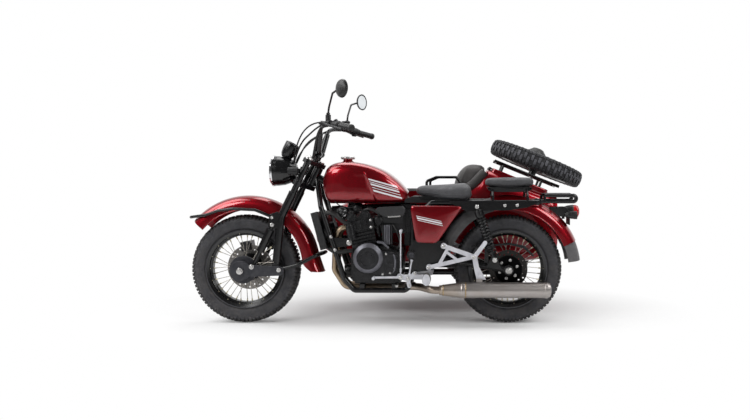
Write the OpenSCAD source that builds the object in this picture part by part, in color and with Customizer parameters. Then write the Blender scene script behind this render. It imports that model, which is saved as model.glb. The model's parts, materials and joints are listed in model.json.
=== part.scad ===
// Sidecar motorcycle: a leading-link fork, a twin engine in a tube cradle, spoked wheels,
// and on the right a tub sidecar whose boot lid carries the spare wheel.
// Millimetres. -X is forward, +Y the rider's right, +Z up; the tyres stand on Z = 0.

/* [Wheels] */
// Distance between the two axles of the motorcycle
wheelbase = 1620; // [1600:5:1640]
// Radius of a tyre out to the tips of its tread
tyre_r = 334; // [330:1:337]
// Width of a tyre
tyre_w = 110; // [100:1:112]
// Height of a tyre's section over the flange of its rim
tyre_h = 91; // [88:1:95]
// Number of spokes in a wheel
spoke_count = 36; // [28:4:40]
// Radius of a wheel axle
axle_r = 10; // [8:0.5:12]

/* [Fork] */
// Lean of the steering axis from upright
rake = 25.4; // [25:0.1:26]
// Distance of a fork leg from the middle
leg_y = 105; // [103:1:110]
// Radius of a fork leg
leg_r = 19; // [17:0.5:20]
// How far the legs stand in front of the steering axis
leg_offset = 58; // [55:1:60]
// Radius of the steering stem
stem_r = 15; // [13:0.5:17]

/* [Front] */
// Radius of the headlight
lamp_r = 92; // [84:1:94]
// Half of the width of the front mudguard
guard_half = 80; // [74:1:82]
// Distance of the end of the handlebar from the middle
bar_reach = 450; // [430:5:460]
// Radius of the handlebar tube
bar_r = 11; // [10:0.5:12.5]
// Radius of a mirror
mirror_r = 54; // [46:1:60]

/* [Body] */
// Half of the width of the tank
tank_half = 145; // [132:1:150]
// Half of the width of the rear mudguard
rear_guard_half = 95; // [88:1:98]
// Distance of a frame rail from the middle
rail_y = 130; // [128:1:134]
// Radius of the muffler
muffler_r = 46; // [40:1:50]
// Distance of the muffler from the middle
muffler_y = 190; // [185:1:200]

/* [Sidecar] */
// Distance of the middle of the tub from the motorcycle
tub_y = 560; // [550:2:570]
// Half of the width of the tub
tub_half = 275; // [262:1:280]
// Thickness of the tub's wall
tub_wall = 14; // [10:1:16]
// Distance of the sidecar wheel from the motorcycle
side_y = 1080; // [1070:2:1100]
// How far the sidecar axle stands in front of the rear axle
side_lead = 100; // [80:5:120]
// Slope of the boot lid
lid_tilt = 22; // [20:0.5:23]
// Height of the spare wheel's middle over the lid's hinge line
spare_h = 153; // [150:1:165]

/* [Hidden] */
$fn = 48;
gap = 0.3;
run_gap = 0.1;
front_x = -923;
rear_x = front_x + wheelbase;
side_x = rear_x - side_lead;
axle_z = tyre_r;
rim_r = tyre_r - tyre_h;
bead_r = rim_r - 18;
guard_out = side_y + rear_guard_half;
bike_y = -(guard_out - bar_reach - 9) / 2;
mid_x = 12;
head_x = -500;
head_z = 905;
head_half = 58;
yoke_gap = 3;
leg_top = steer(84, leg_offset);
leg_knee = steer(-309, leg_offset);
leg_foot = [leg_knee.x - 30, axle_z + 14];
pivot = [leg_foot.x + 26, axle_z - 2];
link_in = leg_y + leg_r + 3;
link_out = link_in + 14;
hub_half = 58;
shock_top = [leg_knee.x - 50, leg_knee.y - 40];
shock_foot = [front_x + 68, axle_z + 24];
guard_mid = [front_x + 14, axle_z + 14];
guard_crown = tyre_r + 104;
guard_edge = tyre_r + 16;
cradle_y = 110;
tube_r = 16;
plate_y = cradle_y + tube_r + 2;
pivot_rear = [109, 429];
rear_crown = tyre_r + 122;
rear_edge = tyre_r + 34;
rail_z = axle_z + rear_crown - 44;
deck_z = rail_z + tube_r;
rail_end = rear_x + 183;
tub_in = tub_y - tub_half;
bulkhead_x = 572;
seat_half = tub_half - tub_wall - 29;
tub_out = tub_y + tub_half;
beam_r = 20;
beam_z = 262;
hinge = [600, 960];
spare_x = 291;
ring_n = 24;
square_pow = 0.33;

// Shared helpers

function unit(v) = v / norm(v);
// A point of the steering plane: s along the axis from the head, fwd in front of it
function steer(s, fwd) = [head_x + s * sin(rake) - fwd * cos(rake),
  head_z + s * cos(rake) + fwd * sin(rake)];
function p3(p, y) = [p.x, y, p.y];
function power(v, e) = sign(v) * pow(abs(v), e);

module rod(a, b, r) {
  d = b - a;
  l = norm(d);
  translate(a) rotate([0, acos(d.z / l), atan2(d.y, d.x)]) cylinder(r = r, h = l);
}

// A cylinder across the machine, from y0 to y1 at a point of the side view
module pin(p, y0, y1, r) {
  translate([p.x, min(y0, y1), p.y]) rotate([-90, 0, 0]) cylinder(r = r, h = abs(y1 - y0));
}

// A flat plate in the side view between y0 and y1
module plate(y0, y1) {
  translate([0, max(y0, y1), 0]) rotate([90, 0, 0]) linear_extrude(abs(y1 - y0)) children();
}

function turn_at(pts, i) = acos(unit(pts[i] - pts[i - 1]) * unit(pts[i + 1] - pts[i]));
function trim_at(pts, i, bend) = bend * tan(turn_at(pts, i) / 2);

// A round tube through the points, with a bend at every inner point
module tube(pts, r, bend) {
  n = len(pts);
  for (i = [0:n - 2]) {
    u = unit(pts[i + 1] - pts[i]);
    t0 = i > 0 ? trim_at(pts, i, bend) - 1.5 : 0;
    t1 = i < n - 2 ? trim_at(pts, i + 1, bend) - 1.5 : 0;
    rod(pts[i] + u * t0, pts[i + 1] - u * t1, r);
  }
  if (n > 2) for (i = [1:n - 2]) {
    u = unit(pts[i] - pts[i - 1]);
    v = unit(pts[i + 1] - pts[i]);
    q = unit(v - u * (u * v));
    o = pts[i] - u * trim_at(pts, i, bend) + q * bend;
    w = cross(-q, u);
    multmatrix([[-q.x, u.x, w.x, o.x], [-q.y, u.y, w.y, o.y], [-q.z, u.z, w.z, o.z]])
      rotate_extrude(angle = turn_at(pts, i)) translate([bend, 0]) circle(r + 0.2);
  }
}

// A closed skin through rings of points that all have the same count
module skin(rings) {
  m = len(rings);
  n = len(rings[0]);
  polyhedron(points = [for (q = rings) for (p = q) p],
    faces = concat(
      [for (i = [0:m - 2]) for (j = [0:n - 1])
        [i * n + j, (i + 1) * n + j, (i + 1) * n + (j + 1) % n, i * n + (j + 1) % n]],
      [[for (j = [0:n - 1]) j]],
      [[for (j = [0:n - 1]) m * n - 1 - j]]), convexity = 6);
}

// The same skin as one convex piece between each pair of rings
module hulled(rings) {
  for (i = [0:len(rings) - 2]) hull() skin([rings[i], rings[i + 1]]);
}

// A ring across the machine: a rounded box from zb to zt, hw to each side of yc
function ring(x, yc, zb, zt, hw, e, n) = [for (i = [0:n - 1]) let (a = 360 * (i + 0.5) / n)
  [x, yc + hw * power(cos(a), e), (zb + zt) / 2 + (zt - zb) / 2 * power(sin(a), e)]];

// A thin hose along a path of points
hose_ref = unit([0.31, 0.22, 0.92]);
function hose_rings(pts, r, n) = [for (i = [0:len(pts) - 1])
  let (t = unit(pts[min(i + 1, len(pts) - 1)] - pts[max(i - 1, 0)]),
    a = unit(cross(t, hose_ref)), b = cross(a, t))
  [for (j = [0:n - 1]) pts[i] + r * (cos(360 * j / n) * a - sin(360 * j / n) * b)]];
module hose(pts, r, n = 8) skin(hose_rings(pts, r, n));
function curve(a, b, c, d, n) = [for (i = [0:n]) let (t = i / n, s = 1 - t)
  a * s * s * s + b * 3 * s * s * t + c * 3 * s * t * t + d * t * t * t];

module at_head() translate([head_x, 0, head_z]) rotate([0, rake, 0]) children();
module at_lid() translate([hinge.x, tub_y, hinge.y]) rotate([0, lid_tilt, 0]) children();
module wheel_at(x, y) translate([x, y, axle_z]) rotate([90, 0, 0]) children();
module spare_at() at_lid() translate([spare_x, 0, spare_h]) children();

// Section of a mudguard: radius across, width along
function arch(hw, edge, crown, n) = [for (i = [0:n]) let (t = -90 + 180 * i / n)
  [edge + (crown - edge) * pow(max(0, cos(t)), 0.55), hw * sin(t)]];
module guard_section(hw, edge, crown, t) {
  inner = arch(hw - t, edge, crown - t, 14);
  polygon(concat(arch(hw, edge, crown, 14), [for (i = [14:-1:0]) inner[i]]));
}

// Wheel pieces, drawn about Z

tread_depth = 8;
block_count = 36;
module tyre() {
  w = tyre_w / 2;
  difference() {
    rotate_extrude() polygon([[bead_r + gap, -37], [rim_r + 2, -41], [rim_r + 20, -w + 3],
      [rim_r + 42, -w], [rim_r + 56, -w + 1], [tyre_r - 20, -w + 5], [tyre_r - 8, -w + 12],
      [tyre_r - 1.5, -26], [tyre_r - 1, -16], [tyre_r - tread_depth, -15], [tyre_r - tread_depth, -11],
      [tyre_r, -10], [tyre_r, 10], [tyre_r - tread_depth, 11], [tyre_r - tread_depth, 15],
      [tyre_r - 1, 16], [tyre_r - 1.5, 26], [tyre_r - 8, w - 12], [tyre_r - 20, w - 5],
      [rim_r + 56, w - 1], [rim_r + 42, w], [rim_r + 20, w - 3], [rim_r + 2, 41], [bead_r + gap, 37]]);
    for (i = [0:block_count - 1]) {
      rotate((i + 0.5) * 360 / block_count) translate([tyre_r - tread_depth, -6, -12.5])
        cube([20, 12, 25]);
      for (s = [-1, 1]) rotate((i + 0.5 + 0.25 * s) * 360 / block_count)
        translate([tyre_r - 2 * tread_depth, -7.5, s > 0 ? 13 : -68]) cube([28, 15, 55]);
    }
  }
}

module rim() {
  rotate_extrude() polygon([[rim_r, -48], [rim_r, -42], [bead_r, -38], [bead_r, -24],
    [rim_r - 32, -16], [rim_r - 32, 16], [bead_r, 24], [bead_r, 38], [rim_r, 42],
    [rim_r, 48], [rim_r - 6, 48], [rim_r - 23, 42], [rim_r - 24, 27], [rim_r - 37, 18],
    [rim_r - 37, -18], [rim_r - 24, -27], [rim_r - 23, -42], [rim_r - 6, -48]]);
}

spoke_r = 1.9;
flange_r = 56;
module spoke(i) {
  side = i % 2 == 0 ? 1 : -1;
  lean = floor(i / 2) % 2 == 0 ? 1 : -1;
  a = 360 * i / spoke_count;
  b = a + lean * 20;
  ra = flange_r - 5;
  rb = rim_r - 37.8;
  rod([ra * cos(a), ra * sin(a), side * (36 + 4 * lean)],
    [rb * cos(b), rb * sin(b), side * 9], spoke_r);
}
module hub() {
  difference() {
    rotate_extrude() polygon([[0, -hub_half], [30, -hub_half], [32, -46], [flange_r, -42],
      [flange_r, -30], [34, -26], [34, 26], [flange_r, 30], [flange_r, 42], [32, 46],
      [30, hub_half], [0, hub_half]]);
    cylinder(r = axle_r + run_gap, h = 3 * hub_half, center = true);
  }
  for (i = [0:spoke_count - 1]) spoke(i);
}
disc_r = 140;
// A drilled disc on the hub's end face, z0 the face
module disc(z0, r) {
  translate([0, 0, z0]) difference() {
    cylinder(r = r, h = 6);
    translate([0, 0, -1]) cylinder(r = 24, h = 8);
    for (i = [0:23]) rotate(15 * i) translate([r - (i % 2 == 0 ? 14 : 28), 0, -1])
      cylinder(r = 5, h = 8);
  }
}

module front_tyre() color("#2b2b2c") wheel_at(front_x, 0) tyre();
module front_rim() color("#1a1a1b") wheel_at(front_x, 0) rim();
module front_hub() color("#c9ccd0") wheel_at(front_x, 0) hub();
module front_disc() color("#8f9296") wheel_at(front_x, 0) disc(-hub_half - 6 - gap, disc_r);
module rear_tyre() color("#2b2b2c") wheel_at(rear_x, 0) tyre();
module rear_rim() color("#1a1a1b") wheel_at(rear_x, 0) rim();
module rear_hub() color("#c9ccd0") wheel_at(rear_x, 0) hub();
module rear_disc() color("#8f9296") wheel_at(rear_x, 0) disc(hub_half + gap, 118);
module side_tyre() color("#2b2b2c") wheel_at(side_x, side_y) tyre();
module side_rim() color("#1a1a1b") wheel_at(side_x, side_y) rim();
module side_hub() color("#c9ccd0") wheel_at(side_x, side_y) hub();
module spare_tyre() color("#2b2b2c") spare_at() tyre();
module spare_rim() color("#1a1a1b") spare_at() rim();
module spare_hub() color("#c9ccd0") spare_at() hub();

// Front end, turning with the steering

module yoke(z, h) {
  translate([0, 0, z]) linear_extrude(h) union() {
    circle(34);
    for (s = [-1, 1]) translate([-leg_offset, s * leg_y]) circle(leg_r + 13);
    polygon([[-leg_offset - 30, -leg_y], [-leg_offset - 30, leg_y], [-leg_offset + 24, leg_y],
      [30, 18], [30, -18], [-leg_offset + 24, -leg_y]]);
  }
}

module fork() color("#1f2022") {
  at_head() {
    translate([0, 0, -head_half - 30]) cylinder(r = stem_r, h = 2 * head_half + 60);
    yoke(head_half + yoke_gap, 26);
    yoke(-head_half - yoke_gap - 28, 28);
  }
  for (s = [-1, 1]) {
    tube([p3(leg_top, s * leg_y), p3(leg_knee, s * leg_y), p3(leg_foot, s * leg_y)], leg_r, 70);
    plate(s * (leg_y - 6), s * (leg_y + leg_r + 2.5)) union() {
      translate(leg_foot) circle(27);
      translate(pivot) circle(24);
      polygon([leg_foot + [-24, 0], leg_foot + [0, 27], pivot + [20, 14], pivot + [0, -24]]);
    }
    pin(pivot, s * (leg_y + leg_r), s * (link_out + 6), 9);
    plate(s * (leg_y + 13), s * (leg_y + 23))
      polygon([leg_knee + [6, -62], leg_knee + [16, 12], leg_knee + [-16, 40],
        leg_knee + [-66, 22], leg_knee + [-72, -54]]);
    translate([head_x - 186, s > 0 ? lamp_r + 5 : -lamp_r - 11, head_z + 18]) cube([136, 6, 28]);
    translate([head_x - 68, s > 0 ? lamp_r + 5 : -lamp_r - 11, head_z - 2]) cube([24, 6, 60]);
  }
  loop = [p3(leg_foot + [22, -8], -leg_y - 6), p3(leg_foot + [134, 20], -leg_y - 10),
    p3(leg_foot + [236, 72], -leg_y + 22), p3(leg_foot + [276, 84], -36)];
  tube(concat(loop, [for (i = [3:-1:0]) [loop[i].x, -loop[i].y, loop[i].z]]), 11, 42);
}

caliper_turn = 100;
module front_links() color("#47494c") {
  for (s = [-1, 1]) {
    difference() {
      plate(s * link_in, s * link_out) union() {
        translate([front_x, axle_z]) circle(s < 0 ? 60 : 40);
        translate(pivot) circle(27);
        polygon([[front_x, axle_z + 38], pivot + [0, 27], pivot + [0, -27], [front_x, axle_z - 38]]);
      }
      pin(pivot, s * (link_in - 5), s * (link_out + 5), 9.2);
    }
    pin([front_x, axle_z], s * (hub_half + 8), s * (hub_half + 28), s < 0 ? 84 : 20);
    pin([front_x, axle_z], s * (hub_half + 27), s * link_in, s < 0 ? 34 : 20);
    pin([front_x, axle_z], s * link_out, s * (link_out + 10), 19);
  }
  pin([front_x, axle_z], -link_in - 4, link_in + 4, axle_r);
  translate([front_x, 0, axle_z]) rotate([0, -caliper_turn, 0]) {
    translate([20, link_in, -20]) cube([disc_r - 10, link_out - link_in, 40]);
    translate([disc_r - 40, hub_half + 12, -32]) cube([62, link_out - hub_half - 12, 64]);
    translate([disc_r + 7, hub_half - 16, -32]) cube([15, 40, 64]);
    translate([disc_r - 36, hub_half - 16, -28]) cube([50, 11, 56]);
  }
}

module front_shocks() color("#2a2b2d") {
  for (s = [-1, 1]) {
    a = p3(shock_foot, s * leg_y);
    b = p3(shock_top, s * leg_y);
    u = unit(b - a);
    rod(a + u * 8, a + u * 120, 13);
    rod(a + u * 100, b - u * 34, 24);
    rod(b - u * 40, b - u * 6, 12);
    pin(shock_foot, s * (leg_y - 14), s * (link_in - gap), 15);
    pin(shock_top, s * (leg_y - 14), s * (leg_y + 13 - gap), 15);
  }
}

// The fork leg's x at a height, and the height of the guard's stays on it
function leg_x(z) = z > leg_knee.y ? leg_knee.x + (z - leg_knee.y) * tan(rake)
  : leg_knee.x + (leg_foot.x - leg_knee.x) * (leg_knee.y - z) / (leg_knee.y - leg_foot.y);
stay_z = guard_mid.y + sqrt(pow((guard_edge + guard_crown) / 2 - 17, 2) - pow(leg_knee.x - guard_mid.x, 2));
// A point beside the front guard, from its middle, that moves out with its crown
function by_guard(dx, dz) = guard_mid + [dx, dz] * guard_crown / 438;
module front_guard() color("#a3131c") {
  translate(p3(guard_mid, 0)) rotate([90, 0, 0]) rotate([0, 0, -4]) rotate_extrude(angle = 143)
    guard_section(guard_half, guard_edge, guard_crown, 4);
  for (s = [-1, 1]) pin([leg_x(stay_z), stay_z], s * (guard_half - 9), s * (leg_y - leg_r - gap), 8);
}

module front_bar() color("#1c1d1e") {
  y = leg_y;
  end = leg_knee + [-50, 4];
  half = [p3(end, y - 2), p3(by_guard(65, 352), y), p3(by_guard(-69, 359), y), p3(by_guard(-156, 348), y),
    p3(by_guard(-244, 319), y - 10), p3(by_guard(-353, 304), 40)];
  tube(concat(half, [for (i = [5:-1:0]) [half[i].x, -half[i].y, half[i].z]]), 9, 34);
  for (s = [-1, 1]) pin(end, s * (y - 12), s * (y + 13 - gap), 11);
}

lamp_x = -746;
lamp_z = head_z + 32;
module at_lamp() translate([lamp_x, 0, lamp_z]) rotate([0, 90, 0]) children();
module headlight_shell() color("#151516") {
  at_lamp() rotate_extrude() polygon([[lamp_r, 0], [lamp_r, 22], [lamp_r - 5, 62],
    [lamp_r - 20, 104], [lamp_r - 46, 130], [0, 138], [0, 98], [lamp_r - 48, 90],
    [lamp_r - 20, 56], [lamp_r - 10, 0]]);
  for (s = [-1, 1]) pin([lamp_x + 84, lamp_z], s * (lamp_r - 18), s * (lamp_r + 5 - gap), 9);
}
module headlight_ring() color("#d8dade") {
  at_lamp() rotate_extrude() polygon([[lamp_r + 4, -gap], [lamp_r + 6, -8], [lamp_r + 1, -16],
    [lamp_r - 9, -17], [lamp_r - 9, -gap]]);
}
module headlight_lens() color("#e8eef2") {
  at_lamp() rotate_extrude() polygon(concat([[0, -10]], [[lamp_r - 9.4, -2]],
    [for (i = [0:6]) let (t = i / 6) [(lamp_r - 9.4) * (1 - t), -9 - 8 * sin(90 * t)]]));
}
dial_r = 31;
module instrument() color("#1b1c1e") {
  translate([lamp_x + 90, 0, lamp_z + lamp_r + 39]) rotate([0, 30, 0]) difference() {
    union() {
      translate([0, 0, -42]) cylinder(r = dial_r, h = 84);
      translate([0, 0, -8]) cylinder(r = dial_r + 3, h = 14);
      translate([0, 0, 26]) cylinder(r = dial_r + 4, h = 18);
    }
    translate([0, 0, 39]) cylinder(r = dial_r - 2, h = 20);
  }
  translate([lamp_x + 58, -8, lamp_z + lamp_r - 4.2]) cube([12, 16, 34]);
}
module front_signals() color("#202123") {
  for (s = [-1, 1]) {
    pin([head_x - 96, head_z + 30], s * (lamp_r + 11 + gap), s * 150, 8);
    translate([head_x - 96, s * 162, head_z + 30]) rotate([0, 90, 0])
      translate([0, 0, -32]) cylinder(r = 24, h = 58);
  }
}

bar_mid = [-470, 1040];
bar_path = [p3(bar_mid, 0), p3(bar_mid, 56), [-440, 120, 1195], [-392, 208, 1223],
  [-205, bar_reach - 8, 1176]];
bar_u = unit(bar_path[4] - bar_path[3]);
bar_l = norm(bar_path[4] - bar_path[3]);
function flip(p, s) = [p.x, s * p.y, p.z];
function grip_in(s) = flip(bar_path[3] + bar_u * (bar_l - 132), s);
function perch(s) = grip_in(s) - flip(bar_u, s) * (s < 0 ? 140 : 92);
module handlebar() color("#1d1e20") {
  tube(concat([for (i = [4:-1:1]) flip(bar_path[i], -1)], [for (i = [1:4]) bar_path[i]]), bar_r, 40);
  for (s = [-1, 1]) {
    pin(bar_mid, s * 26, s * 50, bar_r + 9);
    at_head() translate([-31, s * 38, head_half + yoke_gap + 26 + gap]) cylinder(r = 12, h = 46);
  }
}
module hand_controls() color("#242527") {
  for (s = [-1, 1]) {
    a = grip_in(s);
    b = flip(bar_path[4] + bar_u * 8, s);
    u = flip(bar_u, s);
    c = perch(s);
    difference() {
      union() {
        rod(a, b, 17);
        rod(a - u * 56, a - u * 2, 23);
        rod(c - u * 13, c + u * 13, 19);
        rod(c, c + [-46, 0, 4], 10);
        rod(c + [-2, 0, 10], c + [-2, 0, 48], 16);
        tube([c + [-42, 0, 4], a + u * 10 + [-62, 0, 0], a + u * 120 + [-50, 0, -8]], 6, 60);
      }
      rod(a - u * 180, b - u * 7, bar_r + 0.25);
    }
  }
}
mirror_mid = [-269, 395, 1404];
mirror_turn = [46, 28];
module at_mirror(s) translate(flip(mirror_mid, s)) rotate([0, 0, s < 0 ? mirror_turn[0] : -mirror_turn[1]])
  rotate([0, 90, 0]) children();
module mirrors() color("#1a1b1c") {
  for (s = [-1, 1]) {
    a = perch(s) + [-2, 0, 48 + gap];
    at_mirror(s) rotate_extrude() polygon([[0, -16], [mirror_r - 22, -13], [mirror_r - 6, -4],
      [mirror_r, 6], [mirror_r - 4, 6], [mirror_r - 8, 2], [0, 2]]);
    tube([a + [0, 0, 6], a + [4, 0, 44], flip([-330, 338, 1382], s),
      flip(mirror_mid, s) + [-12, s * -4, 0]], 6, 26);
    rod(a, a + [0, 0, 12], 11);
  }
}
module mirror_glass() color("#c8d2da") {
  for (s = [-1, 1]) at_mirror(s) translate([0, 0, 2 + gap]) cylinder(r = mirror_r - 9, h = 2.5);
}
module cables() color("#111213") {
  for (s = [-1, 1]) {
    a = perch(s) + [-47, 0, 4];
    hose(curve(a, a + [-110, 0, -6], [lamp_x + 146, s * 78, lamp_z + 173],
      [lamp_x + 118.9, s * 30.9, lamp_z + 52.4], 16), 4.5);
  }
}

// Frame and running gear of the motorcycle

back_a = [head_x + 22, 0, head_z - 12];
back_b = [-330, 0, 820];
back_c = [40, 0, 752];
back_r = 24;
down_top = [-442, 718];
down_foot = [-299, 281];
keel_z = 213;
module frame() color("#17181a") {
  difference() {
    at_head() cylinder(r = 28, h = 2 * head_half, center = true);
    at_head() cylinder(r = stem_r + run_gap, h = 3 * head_half, center = true);
  }
  difference() {
    union() {
      tube([back_a, back_b, back_c, [96, 0, 700]], back_r, 90);
      for (s = [-1, 1]) {
        tube([[head_x + 14, s * 10, head_z - 20], p3(down_top, s * cradle_y), p3(down_foot, s * cradle_y),
          [-240, s * cradle_y, keel_z], [84, s * cradle_y, keel_z], [pivot_rear.x, s * cradle_y, 330],
          p3(pivot_rear, s * cradle_y), [118, s * cradle_y, 640], [230, s * rail_y, rail_z],
          [rail_end, s * rail_y, rail_z]], tube_r, 34);
      }
    }
    at_head() cylinder(r = 27, h = 2 * head_half - 2, center = true);
  }
  for (s = [-1, 1]) {
    rod([118, s * cradle_y, 470], [424, s * rail_y, rail_z - 4], 12);
    plate(s * (cradle_y - 4), s * plate_y) polygon([[92, 470], [130, 520], [330, 512], [330, 470],
      [240, 340], [110, 320], [92, 340]]);
    rod([rshock_top.x, s * rail_y, rail_z], [rshock_top.x, s * rail_y, rail_z - 32], 13);
  }
  pin([440, rail_z], -rail_y, rail_y, 11);
  translate([-262, -70, 712]) cube([24, 140, tank_z - gap - 712]);
  translate([-258, -8, 720]) cube([16, 16, 80]);
  for (x = [-206, -10]) for (s = [-1, 1])
    translate([x, s > 0 ? 80 : -120, keel_z + 6]) cube([30, 40, 252 - gap - keel_z - 6]);
  pin(pivot_rear, -cradle_y, cradle_y, 20);
  for (s = [-1, 1]) pin(pivot_rear, s * (plate_y - 8), s * (plate_y + 12), 28);
  plate(-64, -76) polygon([[-262, 716], [-238, 716], [-238, 732], [-262, 732], [-322, 702], [-310, 676]]);
  pin([-312, 688], -72, -92, 20);
  pin([-312, 688], -90, -116, 32);
  pin([100, 306], -cradle_y, cradle_y, 13);
  pin([110, 668], -cradle_y, cradle_y, 13);
  pin([-398, 585], -cradle_y, cradle_y, 11);
}

arm_y = 92;
chain_x = rear_x - 227;
module swingarm() color("#1b1c1e") {
  plate(-66, -104) translate([chain_x, axle_z]) polygon([[0, 144], [232, 164], [326, 147], [384, 86],
    [376, 80],
    [318, 132], [230, 154], [0, 134]]);
  plate(-88, -96) translate([chain_x, axle_z]) polygon([[78, 16], [106, 16], [106, 150], [82, 146]]);
  difference() {
    union() {
      for (s = [-1, 1]) {
        tube([p3(pivot_rear + [24, -4], s * 70), [300, s * 76, 402], [420, s * arm_y, 380],
          [rear_x, s * arm_y, axle_z]], 20, 60);
        pin([rear_x, axle_z], s * (arm_y - 22), s * (arm_y + 24), 30);
      }
      pin(pivot_rear + [24, -4], -84, 84, 26);
      pin([300, 402], -76, 76, 16);
      for (s = [-1, 1]) plate(s * (arm_y - 6), s * (rshock_y - 40 - gap)) union() {
        translate(rshock_foot) circle(22);
        polygon([rshock_foot + [-22, 0], rshock_foot + [22, 0], rshock_foot + [44, -60],
          rshock_foot + [-52, -50]]);
      }
    }
    pin(pivot_rear, -130, 130, 20 + gap);
  }
  pin([rear_x, axle_z], -arm_y - 38, arm_y + 38, axle_r);
  for (s = [-1, 1]) pin([rear_x, axle_z], s * (arm_y + 24), s * (arm_y + 36), 18);
}

rshock_top = [rear_x - 193, rail_z - 24];
rshock_foot = [rear_x - 87, axle_z + 69];
rshock_y = 156;
spring_turns = 9;
// Points of a spring from a along u, l long, round its rod
function coil(a, u, l, r, turns) = let (v = unit(cross(u, [0, 1, 0])), w = cross(u, v), n = 12 * turns)
  [for (i = [0:n]) a + u * (l * i / n) + r * (cos(30 * i) * v + sin(30 * i) * w)];
module rear_shocks() color("#2c2d30") {
  for (s = [-1, 1]) {
    a = p3(rshock_foot, s * rshock_y);
    b = p3(rshock_top, s * rshock_y);
    u = unit(b - a);
    l = norm(b - a);
    rod(a + u * 6, b - u * 6, 12);
    rod(a + u * 40, a + u * 52, 27);
    rod(b - u * 60, b - u * 24, 26);
    hose(coil(a + u * (57.5 + gap), u, l - 123 - 2 * gap, 20.5, spring_turns), 5.5, 7);
    pin(rshock_foot, s * (rshock_y - 40), s * (rshock_y + 16), 15);
    pin(rshock_top, s * (rail_y + tube_r + gap), s * (rshock_y + 16), 15);
  }
}

case_half = 92;
cyl_at = [-172, 478];
cyl_lean = 12;
// A point of the leaning cylinder block in the side view
function cyl_p(x, z) = cyl_at
  + [x * cos(cyl_lean) - z * sin(cyl_lean), x * sin(cyl_lean) + z * cos(cyl_lean)];
module engine_case() color("#26282a") {
  plate(-case_half, case_half) polygon([[-262, 300], [-236, 252], [30, 252], [52, 300], [56, 470],
    cyl_p(84, 12 - gap), cyl_p(-82, 12 - gap), [-262, 420]]);
  for (s = [-1, 1]) plate(s * (case_half - 2), s * 150) polygon([[-240, 330], [-210, 268], [10, 262],
    [42, 310], [46, 440], [-50, 482], [-220, 470], [-244, 420]]);
}
cover_at = [-147, 415];
module engine_covers() color("#2e3033") {
  for (s = [-1, 1]) {
    difference() {
      union() {
        pin(cover_at, s * (150 + gap), s * 172, 90);
        pin(cover_at, s * 170, s * 186, 82);
        pin(cover_at, s * 184, s * 200, 66);
      }
      pin(cover_at, s * 195, s * 206, 46);
    }
    pin(cover_at, s * 190, s * 198, 38);
    for (i = [0:7]) pin(cover_at + 85 * [cos(45 * i + 20), sin(45 * i + 20)], s * 165, s * 177, 6);
    plate(s * (150 + gap), s * 168) polygon([[-120, 300], [-24, 290], [14, 304], [26, 340], [24, 430],
      [4, 452], [-90, 462]]);
    plate(s * 160, s * 176) polygon([[-80, 318], [-28, 308], [2, 318], [10, 346], [8, 420],
      [-6, 436], [-60, 444]]);
    for (p = [[12, 324], [14, 400], [-8, 446]]) pin(p, s * 160, s * 173, 6);
    pin([-20, 360], s * 170, s * 184, 26);
  }
}
// The block with its ribs, the head and the two cam covers, leaning forward
module cylinders() color("#3a3c3f") {
  translate(p3(cyl_at, 0)) rotate([0, -cyl_lean, 0]) {
    difference() {
      translate([-76, -130, 12]) cube([150, 260, 96]);
      for (k = [0:3]) for (s = [-1, 1]) translate([-90, s > 0 ? 112 : -150, 26 + 20 * k]) cube([180, 38, 9]);
    }
    translate([-84, -140, 106]) cube([166, 280, 56]);
    for (s = [-1, 1]) for (k = [0:4]) translate([-78 + 34 * k, s > 0 ? 138 : -150, 110]) cube([14, 12, 48]);
    translate([-74, -126, 160]) cube([146, 252, 30]);
    for (x = [-40, 38]) translate([x, -134, 186]) rotate([-90, 0, 0]) cylinder(r = 30, h = 268);
    for (s = [-1, 1]) for (x = [-40, 38]) translate([x, s * 138, 186]) rotate([90, 0, 0])
      cylinder(r = 19, h = 16, center = true);
    translate([-62, -148, 62]) cylinder(r = 26, h = 84);
    translate([-62, -148, 140]) cylinder(r = 17, h = 26);
  }
}
box_top = min(710, rail_z - 36);
box_x = 110 + 13 + gap;
// Rear end of the battery box at a height, clear of the rear guard
function box_end(z) = let (r = rear_crown + 4, h = z - axle_z)
  min(box_x + 277, max(box_x + 40, rear_x - 22 - sqrt(max(0, r * r - h * h))));
module airbox() color("#5d6064") {
  translate([-84, -104, 560]) cube([150, 208, 130]);
  for (s = [-1, 1]) translate([-70, s > 0 ? 102 : -116, 620]) cube([126, 14, 52]);
  for (s = [-1, 1]) rod(p3(cyl_p(82 + gap, 137), s * 56), p3(cyl_p(124, 137), s * 56), 24);
  translate([-66, -112, 496]) cube([60, 12, 118]);
  for (k = [0:3]) translate([-66 + 17 * k, -148, 496]) cube([9, 40, 112]);
  plate(-90, 90) polygon([[box_x, 520], for (z = [520, 600, box_top - 30, box_top]) [box_end(z), z],
    [box_x, box_top]]);
}
module radiator() color("#1a1b1d") {
  translate([-451, 0, 574]) rotate([0, -15.4, 0]) {
    translate([-20, -118, -112]) cube([40, 236, 224]);
    for (s = [-1, 1]) translate([-21, s > 0 ? 116 : -132, -116]) cube([42, 16, 232]);
  }
  for (s = [-1, 1]) rod([-440, s * 80, 585], [-409 - gap, s * 80, 585], 10);
}

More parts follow.
